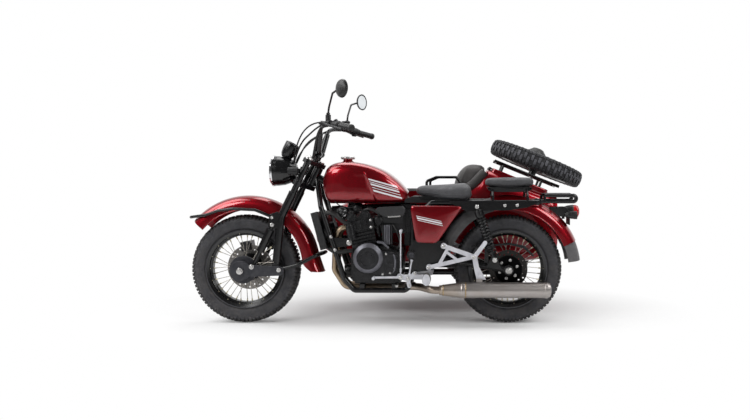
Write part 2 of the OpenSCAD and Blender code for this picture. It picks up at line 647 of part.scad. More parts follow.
pipe_r = 18;
module exhaust() color("#b7a68f") {
  for (s = [-1, 1])
    tube([p3(cyl_p(-84 - gap, 137), s * 56), p3(cyl_p(-150, 137), s * 56), [-364, s * 56, 470],
      [-368, s * 56, 330], [-300, s * 56, 226], [120, s * 40, 224]], pipe_r, 52);
  tube([[60, -26, 224], [150, -40, 224], [238, -muffler_y, 226], [330, -muffler_y, 226]], 22, 60);
}
module muffler() color("#b9bbbd") {
  translate([0, -muffler_y, 226]) rotate([0, 90, 0]) rotate_extrude() polygon([[23, 278], [29, 278],
    [29, 290], [32, 300], [muffler_r, 408], [muffler_r + 2.5, 414], [muffler_r + 2.5, 430], [muffler_r, 434],
    [muffler_r, 906], [muffler_r + 2, 910], [muffler_r + 2, 922], [muffler_r - 6, 938], [24, 944], [18, 944],
    [18, 900], [10, 900], [10, 420], [23, 340]]);
  plate(-muffler_y + 6, -muffler_y + 14) polygon([[500, 226 + muffler_r - 6], [500, 292],
    [536, 292], [536, 226 + muffler_r - 6]]);
}

tank_z = 737.5;
// Rows of the tank: x, underside, top, half width as a share, squareness
tank_rows = [[-438, 832, 884, 0.40, 0.7], [-430, 796, 920, 0.62, 0.62], [-404, 740, 966, 0.80, 0.55],
  [-350, 737, 990, 0.93, 0.5], [-260, 737, 994, 1, 0.5], [-150, 737, 974, 1, 0.5],
  [-60, 737, 938, 0.95, 0.52], [10, 738, 888, 0.84, 0.55], [58, 740, 840, 0.70, 0.6],
  [80, 760, 808, 0.52, 0.7]];
// The channel under the tank that the frame's backbone runs in
module trough(a, b) {
  translate(a) rotate([0, atan2(a.z - b.z, b.x - a.x), 0])
    translate([-60, -back_r - 4, -220]) cube([norm(b - a) + 100, 2 * back_r + 8, 220 + back_r + 3]);
}
module tank() color("#a3131c") {
  difference() {
    hulled([for (q = tank_rows) ring(q[0], 0, q[1], q[2], tank_half * q[3], q[4], ring_n)]);
    trough(back_a, back_b);
    trough(back_b, back_c);
  }
}
module tank_cap() color("#17181a") {
  translate([-296, 0, 993.6]) cylinder(r = 30, h = 22);
  translate([-296, 0, 1009]) cylinder(r = 38, h = 14);
}
module side_covers() color("#a3131c") {
  for (s = [-1, 1]) {
    plate(s * (rail_y + tube_r + 4), s * (rail_y + tube_r + 18)) polygon([[104, 700], [110, 728],
      [400, 726], [414, 716], [262, 500], [136, 506]]);
    for (k = [0.27, 0.6]) pin([118 + 306 * k, 470 + (rail_z - 474) * k],
      s * (cradle_y + (rail_y - cradle_y) * k + 12.8), s * (rail_y + tube_r + 6), 8);
  }
}

module rider_seat() color("#1a1a1b") {
  rows = [[126, 800, 822, 60], [150, 786, 840, 84], [230, 780, 846, 112], [330, 778, 850, 142],
    [410, 780, 858, 150], [455, 790, 856, 138], [470, 806, 840, 110]];
  skin([for (q = rows) ring(q[0], 0, deck_z - 762 + q[1], deck_z - 762 + q[2], q[3], 0.6, ring_n)]);
}
module pillion_seat() color("#1a1a1b") {
  rows = [[-144, 86, 112, 84], [-131, 77, 126, 102], [-57, 73, 132, 110], [73, 73, 134, 110],
    [145, 77, 130, 102], [159, 88, 116, 84]];
  skin([for (q = rows) ring(rear_x + q[0], 0, deck_z + q[1], deck_z + q[2], q[3], 0.5, ring_n)]);
}
module seat_posts() color("#18191a") {
  translate([160, -104, deck_z + 4]) cube([280, 208, 11.9]);
  translate([250, -rail_y - 8, deck_z + gap]) cube([150, 2 * rail_y + 16, 8]);
  translate([rear_x - 127, -92, deck_z + 61]) cube([270, 184, 11.8]);
  for (s = [-1, 1]) {
    for (x = [rear_x - 97, rear_x + 113]) {
      rod([x, s * 84, deck_z + 62], [x, s * rail_y, deck_z + 22], 8);
      translate([x, s * rail_y, deck_z + gap]) cylinder(r = 9, h = 26);
    }
  }
}

module rear_guard() color("#a3131c") {
  translate([rear_x, 0, axle_z]) rotate([90, 0, 0]) rotate([0, 0, 23]) rotate_extrude(angle = 81)
    guard_section(rear_guard_half, rear_edge, rear_crown, 5);
  for (s = [-1, 1]) for (x = [rear_x - 62, rear_x + 62])
    pin([x, rail_z], s * (rear_guard_half - 14), s * (rail_y - tube_r - gap), 9);
}
module mudflap() color("#161617") {
  for (q = [[7, 20], [100, 64]]) translate([rear_x, 0, axle_z]) rotate([90, 0, 0]) rotate([0, 0, q[0]])
    rotate_extrude(angle = q[1]) guard_section(rear_guard_half - 5.6, rear_edge, rear_crown - 5.6, 5);
}
module rear_rack() color("#17181a") {
  for (s = [-1, 1]) {
    y = s * 98;
    tube([[rail_end + gap, y, rail_z + 5], [rail_end + 228, y, rail_z + 5], [rail_end + 228, y, rail_z + 41],
      [rail_end + 37, y, rail_z + 41]], 12, 17.5);
    rod([rail_end + 37, y, rail_z + 41], [rail_end + 37, y, rail_z + 5], 9);
    translate([rail_end + gap, s > 0 ? 88 : -146, rail_z - 8]) cube([10, 58, 26]);
  }
  difference() {
    for (x = [60, 180]) translate([rail_end + x - 16, -98, rail_z + 48]) cube([32, 196, 5]);
    for (x = [60, 180]) for (s = [-1, 1])
      translate([rail_end + x, s * 60, rail_z + 34]) cylinder(r = 3.25, h = 40);
  }
}

lamp_back = rear_x + 338;
function guard_top(x) = axle_z + sqrt(rear_crown * rear_crown - (x - rear_x) * (x - rear_x));
lamp_h = guard_top(lamp_back) + 46;
module at_tail(x, y, z) translate([lamp_back + x, y, lamp_h + z]) rotate([0, 90, 0]) children();
module tail_lamp() color("#1a1b1c") {
  at_tail(0, 0, 0) rotate_extrude() polygon([[0, 0], [26, 0], [36, 30], [41, 60], [41, 68], [0, 68]]);
  translate([lamp_back, -18, guard_top(lamp_back) + gap]) cube([14, 36, 30]);
  for (s = [-1, 1]) {
    pin([lamp_back + 36, lamp_h - 10], s * 26, s * 84, 8);
    at_tail(4, s * 96, -18) rotate_extrude()
      polygon([[0, 0], [10, 0], [20, 20], [25, 62], [25, 74], [0, 74]]);
  }
  translate([lamp_back + 34, -70, lamp_h - 80]) cube([6, 140, 58]);
}
module tail_lens() color("#b01018") {
  at_tail(68 + gap, 0, 0) rotate_extrude() polygon([[0, 0], [40, 0], [40, 16], [34, 30], [18, 37], [0, 38]]);
}

// A straight bar in the side view with round ends
module bar(a, b, w) {
  u = unit(b - a);
  n = [-u.y, u.x] * w / 2;
  polygon([a + n, b + n, b - n, a - n]);
  for (p = [a, b]) translate(p) circle(w / 2);
}
truss_a = [304, 486];
truss_b = [216, 358];
truss_c = [486, 422];
module foot_brackets() color("#c4c6c8") {
  for (s = [-1, 1]) {
    plate(s * 154, s * 164) union() {
      bar(truss_a, truss_c, 26);
      bar(truss_b, truss_c, 24);
      bar([330, 474], [282, 384], 19);
      bar([326, 446], [386, 402], 15);
    }
    for (p = [truss_a, truss_b]) {
      pin(p, s * (plate_y + gap), s * 168, 17);
      pin(p, s * 160, s * 172, 10);
    }
    pin(truss_c, s * 160, s * 204, 16);
    plate(s * 186, s * 200) bar(truss_c + [4, 4], truss_c + [66, 86], 24);
  }
  plate(-154, -164) polygon([[474, 424], [504, 424], [516, 360], [558, 284], [502, 284], [486, 350]]);
  pin([524, 300], -164, -muffler_y + 14 + gap, 10);
}
peg_at = [205, 296];
module footrests() color("#c4c6c8") {
  for (s = [-1, 1]) {
    plate(s * (cradle_y + tube_r + gap), s * 137) bar([101, 298], peg_at, 30);
    pin(peg_at, s * 130, s * 256, 12);
    plate(s * 184, s * 262) polygon([for (i = [0:23]) peg_at + [23 * cos(15 * i), 34 * sin(15 * i)]]);
  }
  plate(-152, -162) union() {
    bar([40, 304], [92, 290], 34);
    bar([92, 290], [132, 322], 22);
    bar([88, 290], [98, 246], 24);
  }
  pin([101, 298], -134, -154, 14);
  pin([50, 302], -158, -194, 11);
  rod([50, -186, 302], [-112, -187, 300], 7);
  pin([-110, 300], -180, -230, 9);
  rod([46, -162, 302], [46, -162, 576], 4);
  for (z = [330, 560]) rod([46, -162, z], [46, -162, z + 22], 7);
  pin([46, 576], -104 - gap, -168, 8);
}

// Sidecar

strut_y = tub_in + 10;
// Rows of the struts: x and z on the motorcycle, y of its face there, x on the sidecar
strut_rows = [[-240, keel_z, cradle_y + tube_r, -300], [109, 376, plate_y, 150],
  [-403.5, 600, cradle_y + tube_r, -300], [446, rail_z, rail_y + tube_r, 640]];
module side_frame() color("#17181a") {
  for (y = [tub_y - 190, tub_y + 190]) rod([-360, y, beam_z], [840, y, beam_z], beam_r);
  for (x = [-300, 150, 640]) rod([x, strut_y - 8, beam_z], [x, tub_y + 220, beam_z], beam_r - 1);
  for (x = [-300, 150, 640]) for (y = [-90, 90])
    translate([x, tub_y + y, beam_z]) cylinder(r = 17, h = floor_z(x) - beam_z - gap);
  difference() {
    union() {
      tube([[150, tub_y + 200, beam_z], [180, tub_out + 60, beam_z], [side_x, side_y - 92, axle_z]],
        24, 80);
      rod([640, tub_y + 200, beam_z], [side_x - 20, side_y - 100, axle_z], 16);
    }
    pin([side_x, axle_z], side_y - 66, side_y, 60);
  }
  pin([side_x, axle_z], side_y - 116, side_y - hub_half - 6, 30);
  pin([side_x, axle_z], side_y - 110, side_y + hub_half + 22, axle_r);
  pin([side_x, axle_z], side_y + hub_half + 6, side_y + hub_half + 20, 19);
  for (q = strut_rows) {
    rod([q[0], q[2] + 22, q[1]], [q[3], strut_y, beam_z], 14);
    pin([q[0], q[1]], q[2] + gap, q[2] + 30, 17);
  }
}
function flank_z(x) = sqrt(pow((rear_edge + rear_crown) / 2, 2) - x * x);
module side_guard() color("#a3131c") {
  translate([side_x, side_y, axle_z]) rotate([90, 0, 0]) rotate([0, 0, 12]) rotate_extrude(angle = 150)
    guard_section(rear_guard_half, rear_edge, rear_crown, 5);
  for (x = [-170, 120]) {
    pin([side_x + x, axle_z + flank_z(x)], tub_y + tub_half * side_share + gap,
      side_y - rear_guard_half + 16, 9);
  }
  translate([side_x - 300, side_y, axle_z + rear_crown - 110]) rotate([0, -90, 0])
    cylinder(r = 26, h = 60);
}

// Rows of the tub: x, underside, top, half width as a share
tub_rows = [[-600, 480, 530, 0.16], [-575, 440, 580, 0.38], [-500, 390, 650, 0.58],
  [-380, 345, 724, 0.78], [-220, 322, 782, 0.93], [-60, 320, 806, 1], [300, 320, 806, 1],
  [430, 320, 826, 1], [520, 320, 884, 1], [hinge.x - 4, 320, 951, 1],
  [980, 350, 951 - (984 - hinge.x) * tan(lid_tilt), 0.97],
  [1046, 420, 951 - (1050 - hinge.x) * tan(lid_tilt), 0.92]];
side_share = pow(cos(180 / ring_n), square_pow);
function floor_z(x) = 563 - 243 * pow(cos(180 / ring_n), square_pow);
module tub_slab(q, t) {
  translate([q[0], tub_y, 0]) rotate([90, 0, 90]) linear_extrude(0.05)
    polygon([for (i = [0:ring_n - 1]) let (a = 360 * (i + 0.5) / ring_n)
      [(tub_half * q[3] - t) * power(cos(a), square_pow),
        (q[1] + q[2]) / 2 + ((q[2] - q[1]) / 2 - t) * power(sin(a), square_pow)]]);
}
module tub_body(t, first, last) {
  for (i = [first:last - 1]) hull() {
    tub_slab(tub_rows[i], t);
    tub_slab(tub_rows[i + 1], t);
  }
}
module tub() color("#a3131c") {
  difference() {
    union() {
      tub_body(0, 0, 11);
      at_lid() translate([16, -222, -60]) cube([404, 444, 52.7]);
      translate([-50, tub_y - tub_half + 23, 760]) cube([470, 2 * tub_half - 46, 46]);
    }
    difference() {
      tub_body(tub_wall, 2, 11);
      translate([bulkhead_x, tub_in, 300]) cube([tub_wall, 2 * tub_half, 700]);
      translate([1026, tub_in, 300]) cube([60, 2 * tub_half, 700]);
    }
    translate([-40, tub_y - tub_half + 42, 640]) cube([bulkhead_x + 40, 2 * tub_half - 84, 500]);
    at_lid() translate([44, -194, -90]) cube([348, 388, 120]);
  }
  at_lid() for (s = [-1, 1]) {
    translate([0, s * 150, 0]) rotate([90, 0, 0]) cylinder(r = 4, h = 70, center = true);
    for (e = [-1, 1]) translate([-7, s * 150 + e * 30 - 5, -60]) cube([14, 10, 64]);
  }
}
module tub_seat() color("#2a211d") {
  rows = [[60, 470, 500, seat_half - 27], [74, 440, 522, seat_half - 8], [160, 430, 536, seat_half],
    [330, 430, 520, seat_half], [400, 440, 500, seat_half - 12]];
  skin([for (q = rows) ring(q[0], tub_y, q[1], q[2], q[3], 0.45, ring_n)]);
  translate([90, tub_y - 125, floor_z(0) + tub_wall + gap]) cube([280, 250, 108]);
}
module tub_back() color("#2a211d") {
  rows = [[500, 434, 500, seat_half - 42], [510, 404, 520, seat_half - 20],
    [570, 372, 530, seat_half - 12], [700, 360, 550, seat_half - 8],
    [840, 362, bulkhead_x - gap, seat_half - 8], [910, 382, bulkhead_x - gap, seat_half - 12],
    [960, 414, bulkhead_x - gap, seat_half - 26], [988, 456, bulkhead_x - 12, seat_half - 62]];
  skin([for (q = rows) [for (p = ring(q[0], tub_y, q[1], q[2], q[3], 0.5, ring_n))
    [p.z, p.y, p.x]]]);
}
module grab_rails() color("#17181a") {
  for (s = [-1, 1]) {
    y = tub_y + s * (tub_half - 32.5);
    tube([[176, y, 806 + gap], [176, y, 872], [240, y, 898], [372, y, 898], [400, y, 866],
      [400, y, 806 + gap]], 9, 20);
  }
}

// Boot lid, its rack and the spare wheel

module boot_lid() color("#a3131c") {
  at_lid() {
    translate([14, -216, -7]) cube([404, 432, 14]);
    for (s = [-1, 1]) difference() {
      union() {
        translate([0, s * 150, 0]) rotate([90, 0, 0]) cylinder(r = 8, h = 48, center = true);
        translate([0, s * 150 - 24, -4]) cube([24, 48, 8]);
      }
      translate([0, s * 150, 0]) rotate([90, 0, 0]) cylinder(r = 4.1, h = 80, center = true);
    }
  }
}
rack_h = spare_h - 94;
module spare_rack() color("#17181a") {
  at_lid() {
    for (s = [-1, 1]) {
      rod([12, s * 120, rack_h], [486, s * 120, rack_h], 10);
      for (x = [80, 360]) translate([x, s * 120, 7 + gap]) cylinder(r = 9, h = rack_h - 7);
    }
    for (x = [30, spare_x, 470]) translate([x, -120, rack_h]) rotate([-90, 0, 0])
      cylinder(r = 9, h = 240);
    translate([spare_x, 0, rack_h - 6]) cylinder(r = 26, h = spare_h - hub_half - gap - rack_h + 6);
    translate([spare_x, 0, rack_h]) cylinder(r = axle_r, h = spare_h + hub_half + 18 - rack_h);
    translate([spare_x, 0, spare_h + hub_half + gap]) cylinder(r = 19, h = 16);
  }
}

module place() translate([mid_x, bike_y, 0]) children();

place() front_tyre();
place() front_rim();
place() front_hub();
place() front_disc();
place() fork();
place() front_links();
place() front_shocks();
place() front_guard();
place() front_bar();
place() headlight_shell();
place() headlight_ring();
place() headlight_lens();
place() instrument();
place() front_signals();
place() handlebar();
place() hand_controls();
place() mirrors();
place() mirror_glass();
place() cables();
place() frame();
place() swingarm();
place() rear_shocks();
place() engine_case();
place() engine_covers();
place() cylinders();
place() airbox();
place() radiator();
place() exhaust();
place() muffler();
place() tank();
place() tank_cap();
place() side_covers();
place() rider_seat();
place() pillion_seat();
place() seat_posts();
place() rear_guard();
place() mudflap();
place() rear_rack();
place() tail_lamp();
place() tail_lens();
place() foot_brackets();
place() footrests();
place() rear_tyre();
place() rear_rim();
place() rear_hub();
place() rear_disc();
place() side_tyre();
place() side_rim();
place() side_hub();
place() side_frame();
place() side_guard();
place() tub();
place() tub_seat();
place() tub_back();
place() grab_rails();
place() boot_lid();
place() spare_rack();
place() spare_tyre();
place() spare_rim();
place() spare_hub();
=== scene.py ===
import json
import math

import bmesh
import bpy
from mathutils import Matrix, Vector


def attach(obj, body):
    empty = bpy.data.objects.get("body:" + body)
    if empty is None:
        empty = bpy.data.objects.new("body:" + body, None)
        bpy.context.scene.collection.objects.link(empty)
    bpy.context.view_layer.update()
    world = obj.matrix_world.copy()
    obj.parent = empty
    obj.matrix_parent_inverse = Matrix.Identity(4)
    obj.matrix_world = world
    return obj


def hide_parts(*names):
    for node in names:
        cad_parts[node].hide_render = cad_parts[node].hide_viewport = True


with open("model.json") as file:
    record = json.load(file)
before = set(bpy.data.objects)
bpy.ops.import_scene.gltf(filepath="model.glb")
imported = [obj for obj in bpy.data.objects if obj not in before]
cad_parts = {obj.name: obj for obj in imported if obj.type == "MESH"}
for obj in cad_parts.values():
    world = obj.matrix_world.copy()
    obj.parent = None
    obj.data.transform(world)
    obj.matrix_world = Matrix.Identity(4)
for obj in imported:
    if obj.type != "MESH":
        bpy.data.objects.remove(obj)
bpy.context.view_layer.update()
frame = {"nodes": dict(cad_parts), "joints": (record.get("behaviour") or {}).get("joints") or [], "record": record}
nodes = frame["nodes"]
joints = {j["name"]: j for j in frame["joints"]}
front_axle = Vector(joints["front_wheel_spin"]["pos_m"])
rear_axle = Vector(joints["rear_wheel_spin"]["pos_m"])
side_axle = Vector(joints["side_wheel_spin"]["pos_m"])
lid_hinge = Vector(joints["boot_lid_hinge"]["pos_m"])

# The drawing is in millimetres, with its zero on the ground in the middle plane of the motorcycle
MM = 0.001
drawing_zero = front_axle - Vector((-0.923, 0.0, 0.334))
hands = ((-1, "left"), (1, "right"))
tub_middle, tub_half = 560, 275
lid_slope = math.radians(22)
hinge_places = (-150, 150)


def at(x, y, z):
    """A point of the drawing, in millimetres, as a place in the frame."""
    return drawing_zero + Vector((x, y, z)) * MM


# Shader helpers

def put(tree, kind, values=None, **settings):
    """Add a shader node, with its settings and its inputs by name."""
    node = tree.nodes.new(kind)
    for name, value in settings.items():
        setattr(node, name, value)
    for name, value in (values or {}).items():
        if isinstance(value, bpy.types.NodeSocket):
            tree.links.new(value, node.inputs[name])
        else:
            node.inputs[name].default_value = value
    return node


def sums(tree, operation, a, b=None, c=None):
    """One step of arithmetic, as a socket."""
    node = put(tree, "ShaderNodeMath", operation=operation)
    for slot, value in zip(node.inputs, (a, b, c)):
        if isinstance(value, bpy.types.NodeSocket):
            tree.links.new(value, slot)
        elif value is not None:
            slot.default_value = value
    return node.outputs[0]


def times(tree, a, b):
    return sums(tree, "MULTIPLY", a, b)


def plus(tree, a, b):
    return sums(tree, "ADD", a, b)


def rest_of(tree, share):
    """What a share leaves of one."""
    return sums(tree, "SUBTRACT", 1.0, share)


def vector_sums(tree, operation, a, b):
    """One step of arithmetic on vectors, as a node."""
    node = put(tree, "ShaderNodeVectorMath", operation=operation)
    for slot, value in zip(node.inputs, (a, b)):
        if isinstance(value, bpy.types.NodeSocket):
            tree.links.new(value, slot)
        else:
            slot.default_value = value
    return node


def spread(tree, value, low, high, to_low=0.0, to_high=1.0):
    """Map a value from one range to another, held inside it."""
    return put(tree, "ShaderNodeMapRange", {"Value": value, "From Min": low, "From Max": high,
               "To Min": to_low, "To Max": to_high}).outputs["Result"]


def tint(tree, share, dark, light):
    """A colour between two, by a share that changes over the surface."""
    node = put(tree, "ShaderNodeMix", data_type="RGBA")
    tree.links.new(share, node.inputs["Factor"])
    for slot, colour in ((node.inputs[6], dark), (node.inputs[7], light)):
        if isinstance(colour, bpy.types.NodeSocket):
            tree.links.new(colour, slot)
        else:
            slot.default_value = (*colour, 1)
    return node.outputs[2]


def place(tree):
    """The place on the surface, in the frame."""
    return put(tree, "ShaderNodeTexCoord").outputs["Object"]


def parts_of(tree, spot=None):
    """The X, Y and Z of a place on the surface, or of another vector."""
    return put(tree, "ShaderNodeSeparateXYZ", {"Vector": place(tree) if spot is None else spot}).outputs


def toned(colour, tone):
    """A colour made lighter or darker."""
    return tuple(tone * c for c in colour)


def effect(name, inputs, outputs):
    """An empty shader group with named sockets: its tree, what goes in and what comes out."""
    tree = bpy.data.node_groups.new(name, "ShaderNodeTree")
    for label, kind, value in inputs:
        socket = tree.interface.new_socket(name=label, in_out="INPUT", socket_type="NodeSocket" + kind)
        socket.default_value = value
    for label, kind in outputs:
        tree.interface.new_socket(name=label, in_out="OUTPUT", socket_type="NodeSocket" + kind)
    return tree, put(tree, "NodeGroupInput").outputs, put(tree, "NodeGroupOutput").inputs


def use(tree, group, **values):
    """Place a shared effect in a material with its own values."""
    return put(tree, "ShaderNodeGroup", {k.replace("_", " "): v for k, v in values.items()},
               node_tree=group).outputs


# Effects that several finishes share

def make_speckle():
    """Fine uneven patches of a finish, as a value between two levels."""
    tree, given, out = effect("speckle", [("Scale", "Float", 60.0), ("Low", "Float", 0.3),
                                          ("High", "Float", 0.5)], [("Value", "Float")])
    noise = put(tree, "ShaderNodeTexNoise", {"Vector": place(tree), "Scale": given["Scale"],
                                             "Detail": 4.0, "Roughness": 0.6})
    tree.links.new(spread(tree, noise.outputs["Fac"], 0.32, 0.68, given["Low"], given["High"]), out["Value"])
    return tree


def make_edge_rub():
    """Where corners are rubbed: a mask along the edges of a piece, broken up by noise."""
    tree, given, out = effect("edge_rub", [("Width", "Float", 0.003), ("Scale", "Float", 90.0)],
                              [("Mask", "Float")])
    soft = put(tree, "ShaderNodeBevel", {"Radius": given["Width"]}, samples=4)
    hard = put(tree, "ShaderNodeNewGeometry")
    turn = vector_sums(tree, "DOT_PRODUCT", soft.outputs["Normal"], hard.outputs["Normal"])
    edge = spread(tree, rest_of(tree, turn.outputs["Value"]), 0.02, 0.22)
    noise = put(tree, "ShaderNodeTexNoise", {"Vector": place(tree), "Scale": given["Scale"], "Detail": 3.0})
    tree.links.new(times(tree, edge, spread(tree, noise.outputs["Fac"], 0.35, 0.6, 0.25, 1.0)), out["Mask"])
    return tree


def make_road_dust():
    """Dust that thins out with height over the road."""
    tree, given, out = effect("road_dust", [("Height", "Float", 0.4), ("Most", "Float", 0.5)],
                              [("Mask", "Float")])
    spot = place(tree)
    height = parts_of(tree, spot)["Z"]
    noise = put(tree, "ShaderNodeTexNoise", {"Vector": spot, "Scale": 26.0, "Detail": 6.0,
                                             "Roughness": 0.65})
    low = rest_of(tree, sums(tree, "DIVIDE", height, given["Height"]))
    both = times(tree, spread(tree, low, 0.0, 1.0, 0.15, 1.0), spread(tree, noise.outputs["Fac"], 0.38, 0.7))
    tree.links.new(times(tree, both, given["Most"]), out["Mask"])
    return tree


def make_round_about():
    """Distance from a wheel's axle."""
    tree, given, out = effect("round_about", [("Middle", "Vector", (0, 0, 0)),
                                              ("Axle", "Vector", (0, 1, 0))],
                              [("Radius", "Float")])
    away = vector_sums(tree, "SUBTRACT", place(tree), given["Middle"]).outputs["Vector"]
    along = vector_sums(tree, "DOT_PRODUCT", away, given["Axle"]).outputs["Value"]
    straight = put(tree, "ShaderNodeVectorMath", {"Vector": given["Axle"], "Scale": along},
                   operation="SCALE")
    flat = vector_sums(tree, "SUBTRACT", away, straight.outputs["Vector"]).outputs["Vector"]
    length = put(tree, "ShaderNodeVectorMath", {"Vector": flat}, operation="LENGTH").outputs["Value"]
    tree.links.new(length, out["Radius"])
    return tree


def make_hide_grain():
    """Leatherette: pebbled height, and painted shade that darkens the creases between the pebbles."""
    tree, given, out = effect("hide_grain", [("Scale", "Float", 420.0)],
                              [("Height", "Float"), ("Crease Shade", "Float")])
    spot = place(tree)
    wobble = put(tree, "ShaderNodeTexNoise", {"Vector": spot, "Scale": 60.0, "Detail": 3.0})
    bent = put(tree, "ShaderNodeVectorMath", {"Vector": wobble.outputs["Color"], "Scale": 0.004},
               operation="SCALE")
    moved = vector_sums(tree, "ADD", spot, bent.outputs["Vector"]).outputs["Vector"]
    cells = put(tree, "ShaderNodeTexVoronoi", {"Vector": moved, "Scale": given["Scale"]},
                feature="DISTANCE_TO_EDGE")
    pebble = spread(tree, cells.outputs["Distance"], 0.0, 0.16)
    broad = put(tree, "ShaderNodeTexNoise", {"Vector": spot, "Scale": 34.0, "Detail": 4.0})
    tree.links.new(plus(tree, pebble, times(tree, broad.outputs["Fac"], 0.6)), out["Height"])
    # Painted shade: this share is low in the creases between the pebbles, so they take the darker colour.
    tree.links.new(times(tree, pebble, broad.outputs["Fac"]), out["Crease Shade"])
    return tree


def make_drawn_lines():
    """Fine lines left by a brush or a lathe, along the axis that is stretched."""
    tree, given, out = effect("drawn_lines", [("Stretch", "Vector", (8, 900, 900)), ("Low", "Float", 0.2),
                                              ("High", "Float", 0.4)], [("Value", "Float")])
    drawn = vector_sums(tree, "MULTIPLY", place(tree), given["Stretch"]).outputs["Vector"]
    noise = put(tree, "ShaderNodeTexNoise", {"Vector": drawn, "Scale": 1.0, "Detail": 3.0, "Roughness": 0.7})
    tree.links.new(spread(tree, noise.outputs["Fac"], 0.3, 0.7, given["Low"], given["High"]), out["Value"])
    return tree


speckle = make_speckle()
edge_rub = make_edge_rub()
road_dust = make_road_dust()
round_about = make_round_about()
hide_grain = make_hide_grain()
drawn_lines = make_drawn_lines()


def patches(tree, scale, low=0.0, high=1.0):
    """The speckle effect's value in a material."""
    return use(tree, speckle, Scale=scale, Low=low, High=high)["Value"]


# Finishes

def finish_for(name, **sockets):
    """A new material with its shader's plain sockets set."""
    material = bpy.data.materials.new(name)
    material.use_nodes = True
    tree = material.node_tree
    shader = tree.nodes["Principled BSDF"]
    for label, value in sockets.items():
        shader.inputs[label.replace("_", " ")].default_value = value
    return material, tree, shader


def feed(tree, shader, **sockets):
    """Link what changes over the surface to the shader's sockets."""
    for label, value in sockets.items():
        tree.links.new(value, shader.inputs[label.replace("_", " ")])


def bumped(tree, height, distance, rounding=None):
    """Fine relief, over edges that are rounded off by a radius where one is given."""
    node = put(tree, "ShaderNodeBump", {"Height": height, "Distance": distance})
    if rounding:
        tree.links.new(put(tree, "ShaderNodeBevel", {"Radius": rounding}, samples=6).outputs["Normal"],
                       node.inputs["Normal"])
    return node.outputs["Normal"]


def red_paint(name, stripes=None):
    """Deep metallic red under clear lacquer; stripes says where white bands lie."""
    material, tree, shader = finish_for(name, Metallic=0.75, Specular_IOR_Level=0.0, Coat_Weight=1.0,
                                        Coat_Roughness=0.02, Coat_IOR=1.5)
    flake = patches(tree, 1400.0)
    cloud = patches(tree, 7.0, 0.0, 0.35)
    red = tint(tree, times(tree, flake, rest_of(tree, cloud)),
               (0.15, 0.0014, 0.0050), (0.32, 0.0031, 0.0105))
    rough = patches(tree, 240.0, 0.27, 0.36)
    height = patches(tree, 420.0)
    if stripes:
        white = stripe_mask(tree, **stripes)
        red = tint(tree, white, red, (0.74, 0.74, 0.76))
        feed(tree, shader, Metallic=times(tree, rest_of(tree, white), 0.75))
    dust = use(tree, road_dust, Height=0.5, Most=0.16)["Mask"]
    feed(tree, shader, Base_Color=tint(tree, dust, red, (0.16, 0.12, 0.10)),
         Roughness=plus(tree, rough, times(tree, dust, 0.5)), Normal=bumped(tree, height, 0.00003))
    return material


def stripe_mask(tree, slope, bands, lean, ends):
    """Slanted bands on a flank: bands by height along the slope, cut off by two leaning ends."""
    parts = parts_of(tree)
    across = plus(tree, parts["Z"], times(tree, parts["X"], slope))
    along = plus(tree, parts["X"], times(tree, parts["Z"], lean))
    total = None
    for low, high in bands:
        inside = times(tree, spread(tree, across, low - 0.0008, low),
                       spread(tree, across, high, high + 0.0008, 1.0, 0.0))
        total = inside if total is None else plus(tree, total, inside)
    cut = times(tree, spread(tree, along, ends[0], ends[0] + 0.001),
                spread(tree, along, ends[1] - 0.001, ends[1], 1.0, 0.0))
    return times(tree, total, cut)


def black_paint(name, low=0.28, high=0.42, dusty=0.3):
    material, tree, shader = finish_for(name, Specular_IOR_Level=0.42)
    worn = use(tree, edge_rub, Width=0.0025, Scale=140.0)["Mask"]
    dust = use(tree, road_dust, Height=0.6, Most=dusty)["Mask"]
    cloud = patches(tree, 18.0)
    black = tint(tree, cloud, (0.0030, 0.0030, 0.0036), (0.0062, 0.0062, 0.0070))
    black = tint(tree, times(tree, worn, 0.3), black, (0.04, 0.041, 0.045))
    feed(tree, shader, Base_Color=tint(tree, dust, black, (0.07, 0.062, 0.055)),
         Roughness=plus(tree, patches(tree, 150.0, low, high), times(tree, dust, 0.5)),
         Normal=bumped(tree, patches(tree, 900.0), 0.00004, 0.0022))
    return material


def gloss_black(name):
    """Smooth black lacquer without wear."""
    material, tree, shader = finish_for(name, Specular_IOR_Level=0.55)
    cloud = patches(tree, 14.0)
    feed(tree, shader, Base_Color=tint(tree, cloud, (0.0035, 0.0035, 0.004), (0.0065, 0.0065, 0.0072)),
         Roughness=patches(tree, 90.0, 0.16, 0.24))
    return material


def cast_metal(name, dark, light, metallic, low, high, grain=0.0003, dusty=0.3):
    """Sand-cast metal, painted or bare."""
    material, tree, shader = finish_for(name, Metallic=metallic, Specular_IOR_Level=0.42)
    worn = use(tree, edge_rub, Width=0.003, Scale=120.0)["Mask"]
    dust = use(tree, road_dust, Height=0.6, Most=dusty)["Mask"]
    body = tint(tree, patches(tree, 26.0), dark, light)
    body = tint(tree, times(tree, worn, 0.6), body, tuple(min(1.0, 1.9 * c + 0.03) for c in light))
    feed(tree, shader, Base_Color=tint(tree, dust, body, (0.09, 0.08, 0.07)),
         Roughness=plus(tree, patches(tree, 210.0, low, high), times(tree, dust, 0.4)),
         Normal=bumped(tree, patches(tree, 520.0), grain, 0.003))
    return material


def moulded_plastic(name):
    material, tree, shader = finish_for(name, Specular_IOR_Level=0.4)
    worn = use(tree, edge_rub, Width=0.002, Scale=160.0)["Mask"]
    body = tint(tree, patches(tree, 30.0), (0.0042, 0.0042, 0.0048), (0.0085, 0.0085, 0.0095))
    feed(tree, shader, Base_Color=tint(tree, times(tree, worn, 0.35), body, (0.045, 0.045, 0.049)),
         Roughness=patches(tree, 260.0, 0.36, 0.52),
         Normal=bumped(tree, patches(tree, 1500.0), 0.00008, 0.002))
    return material


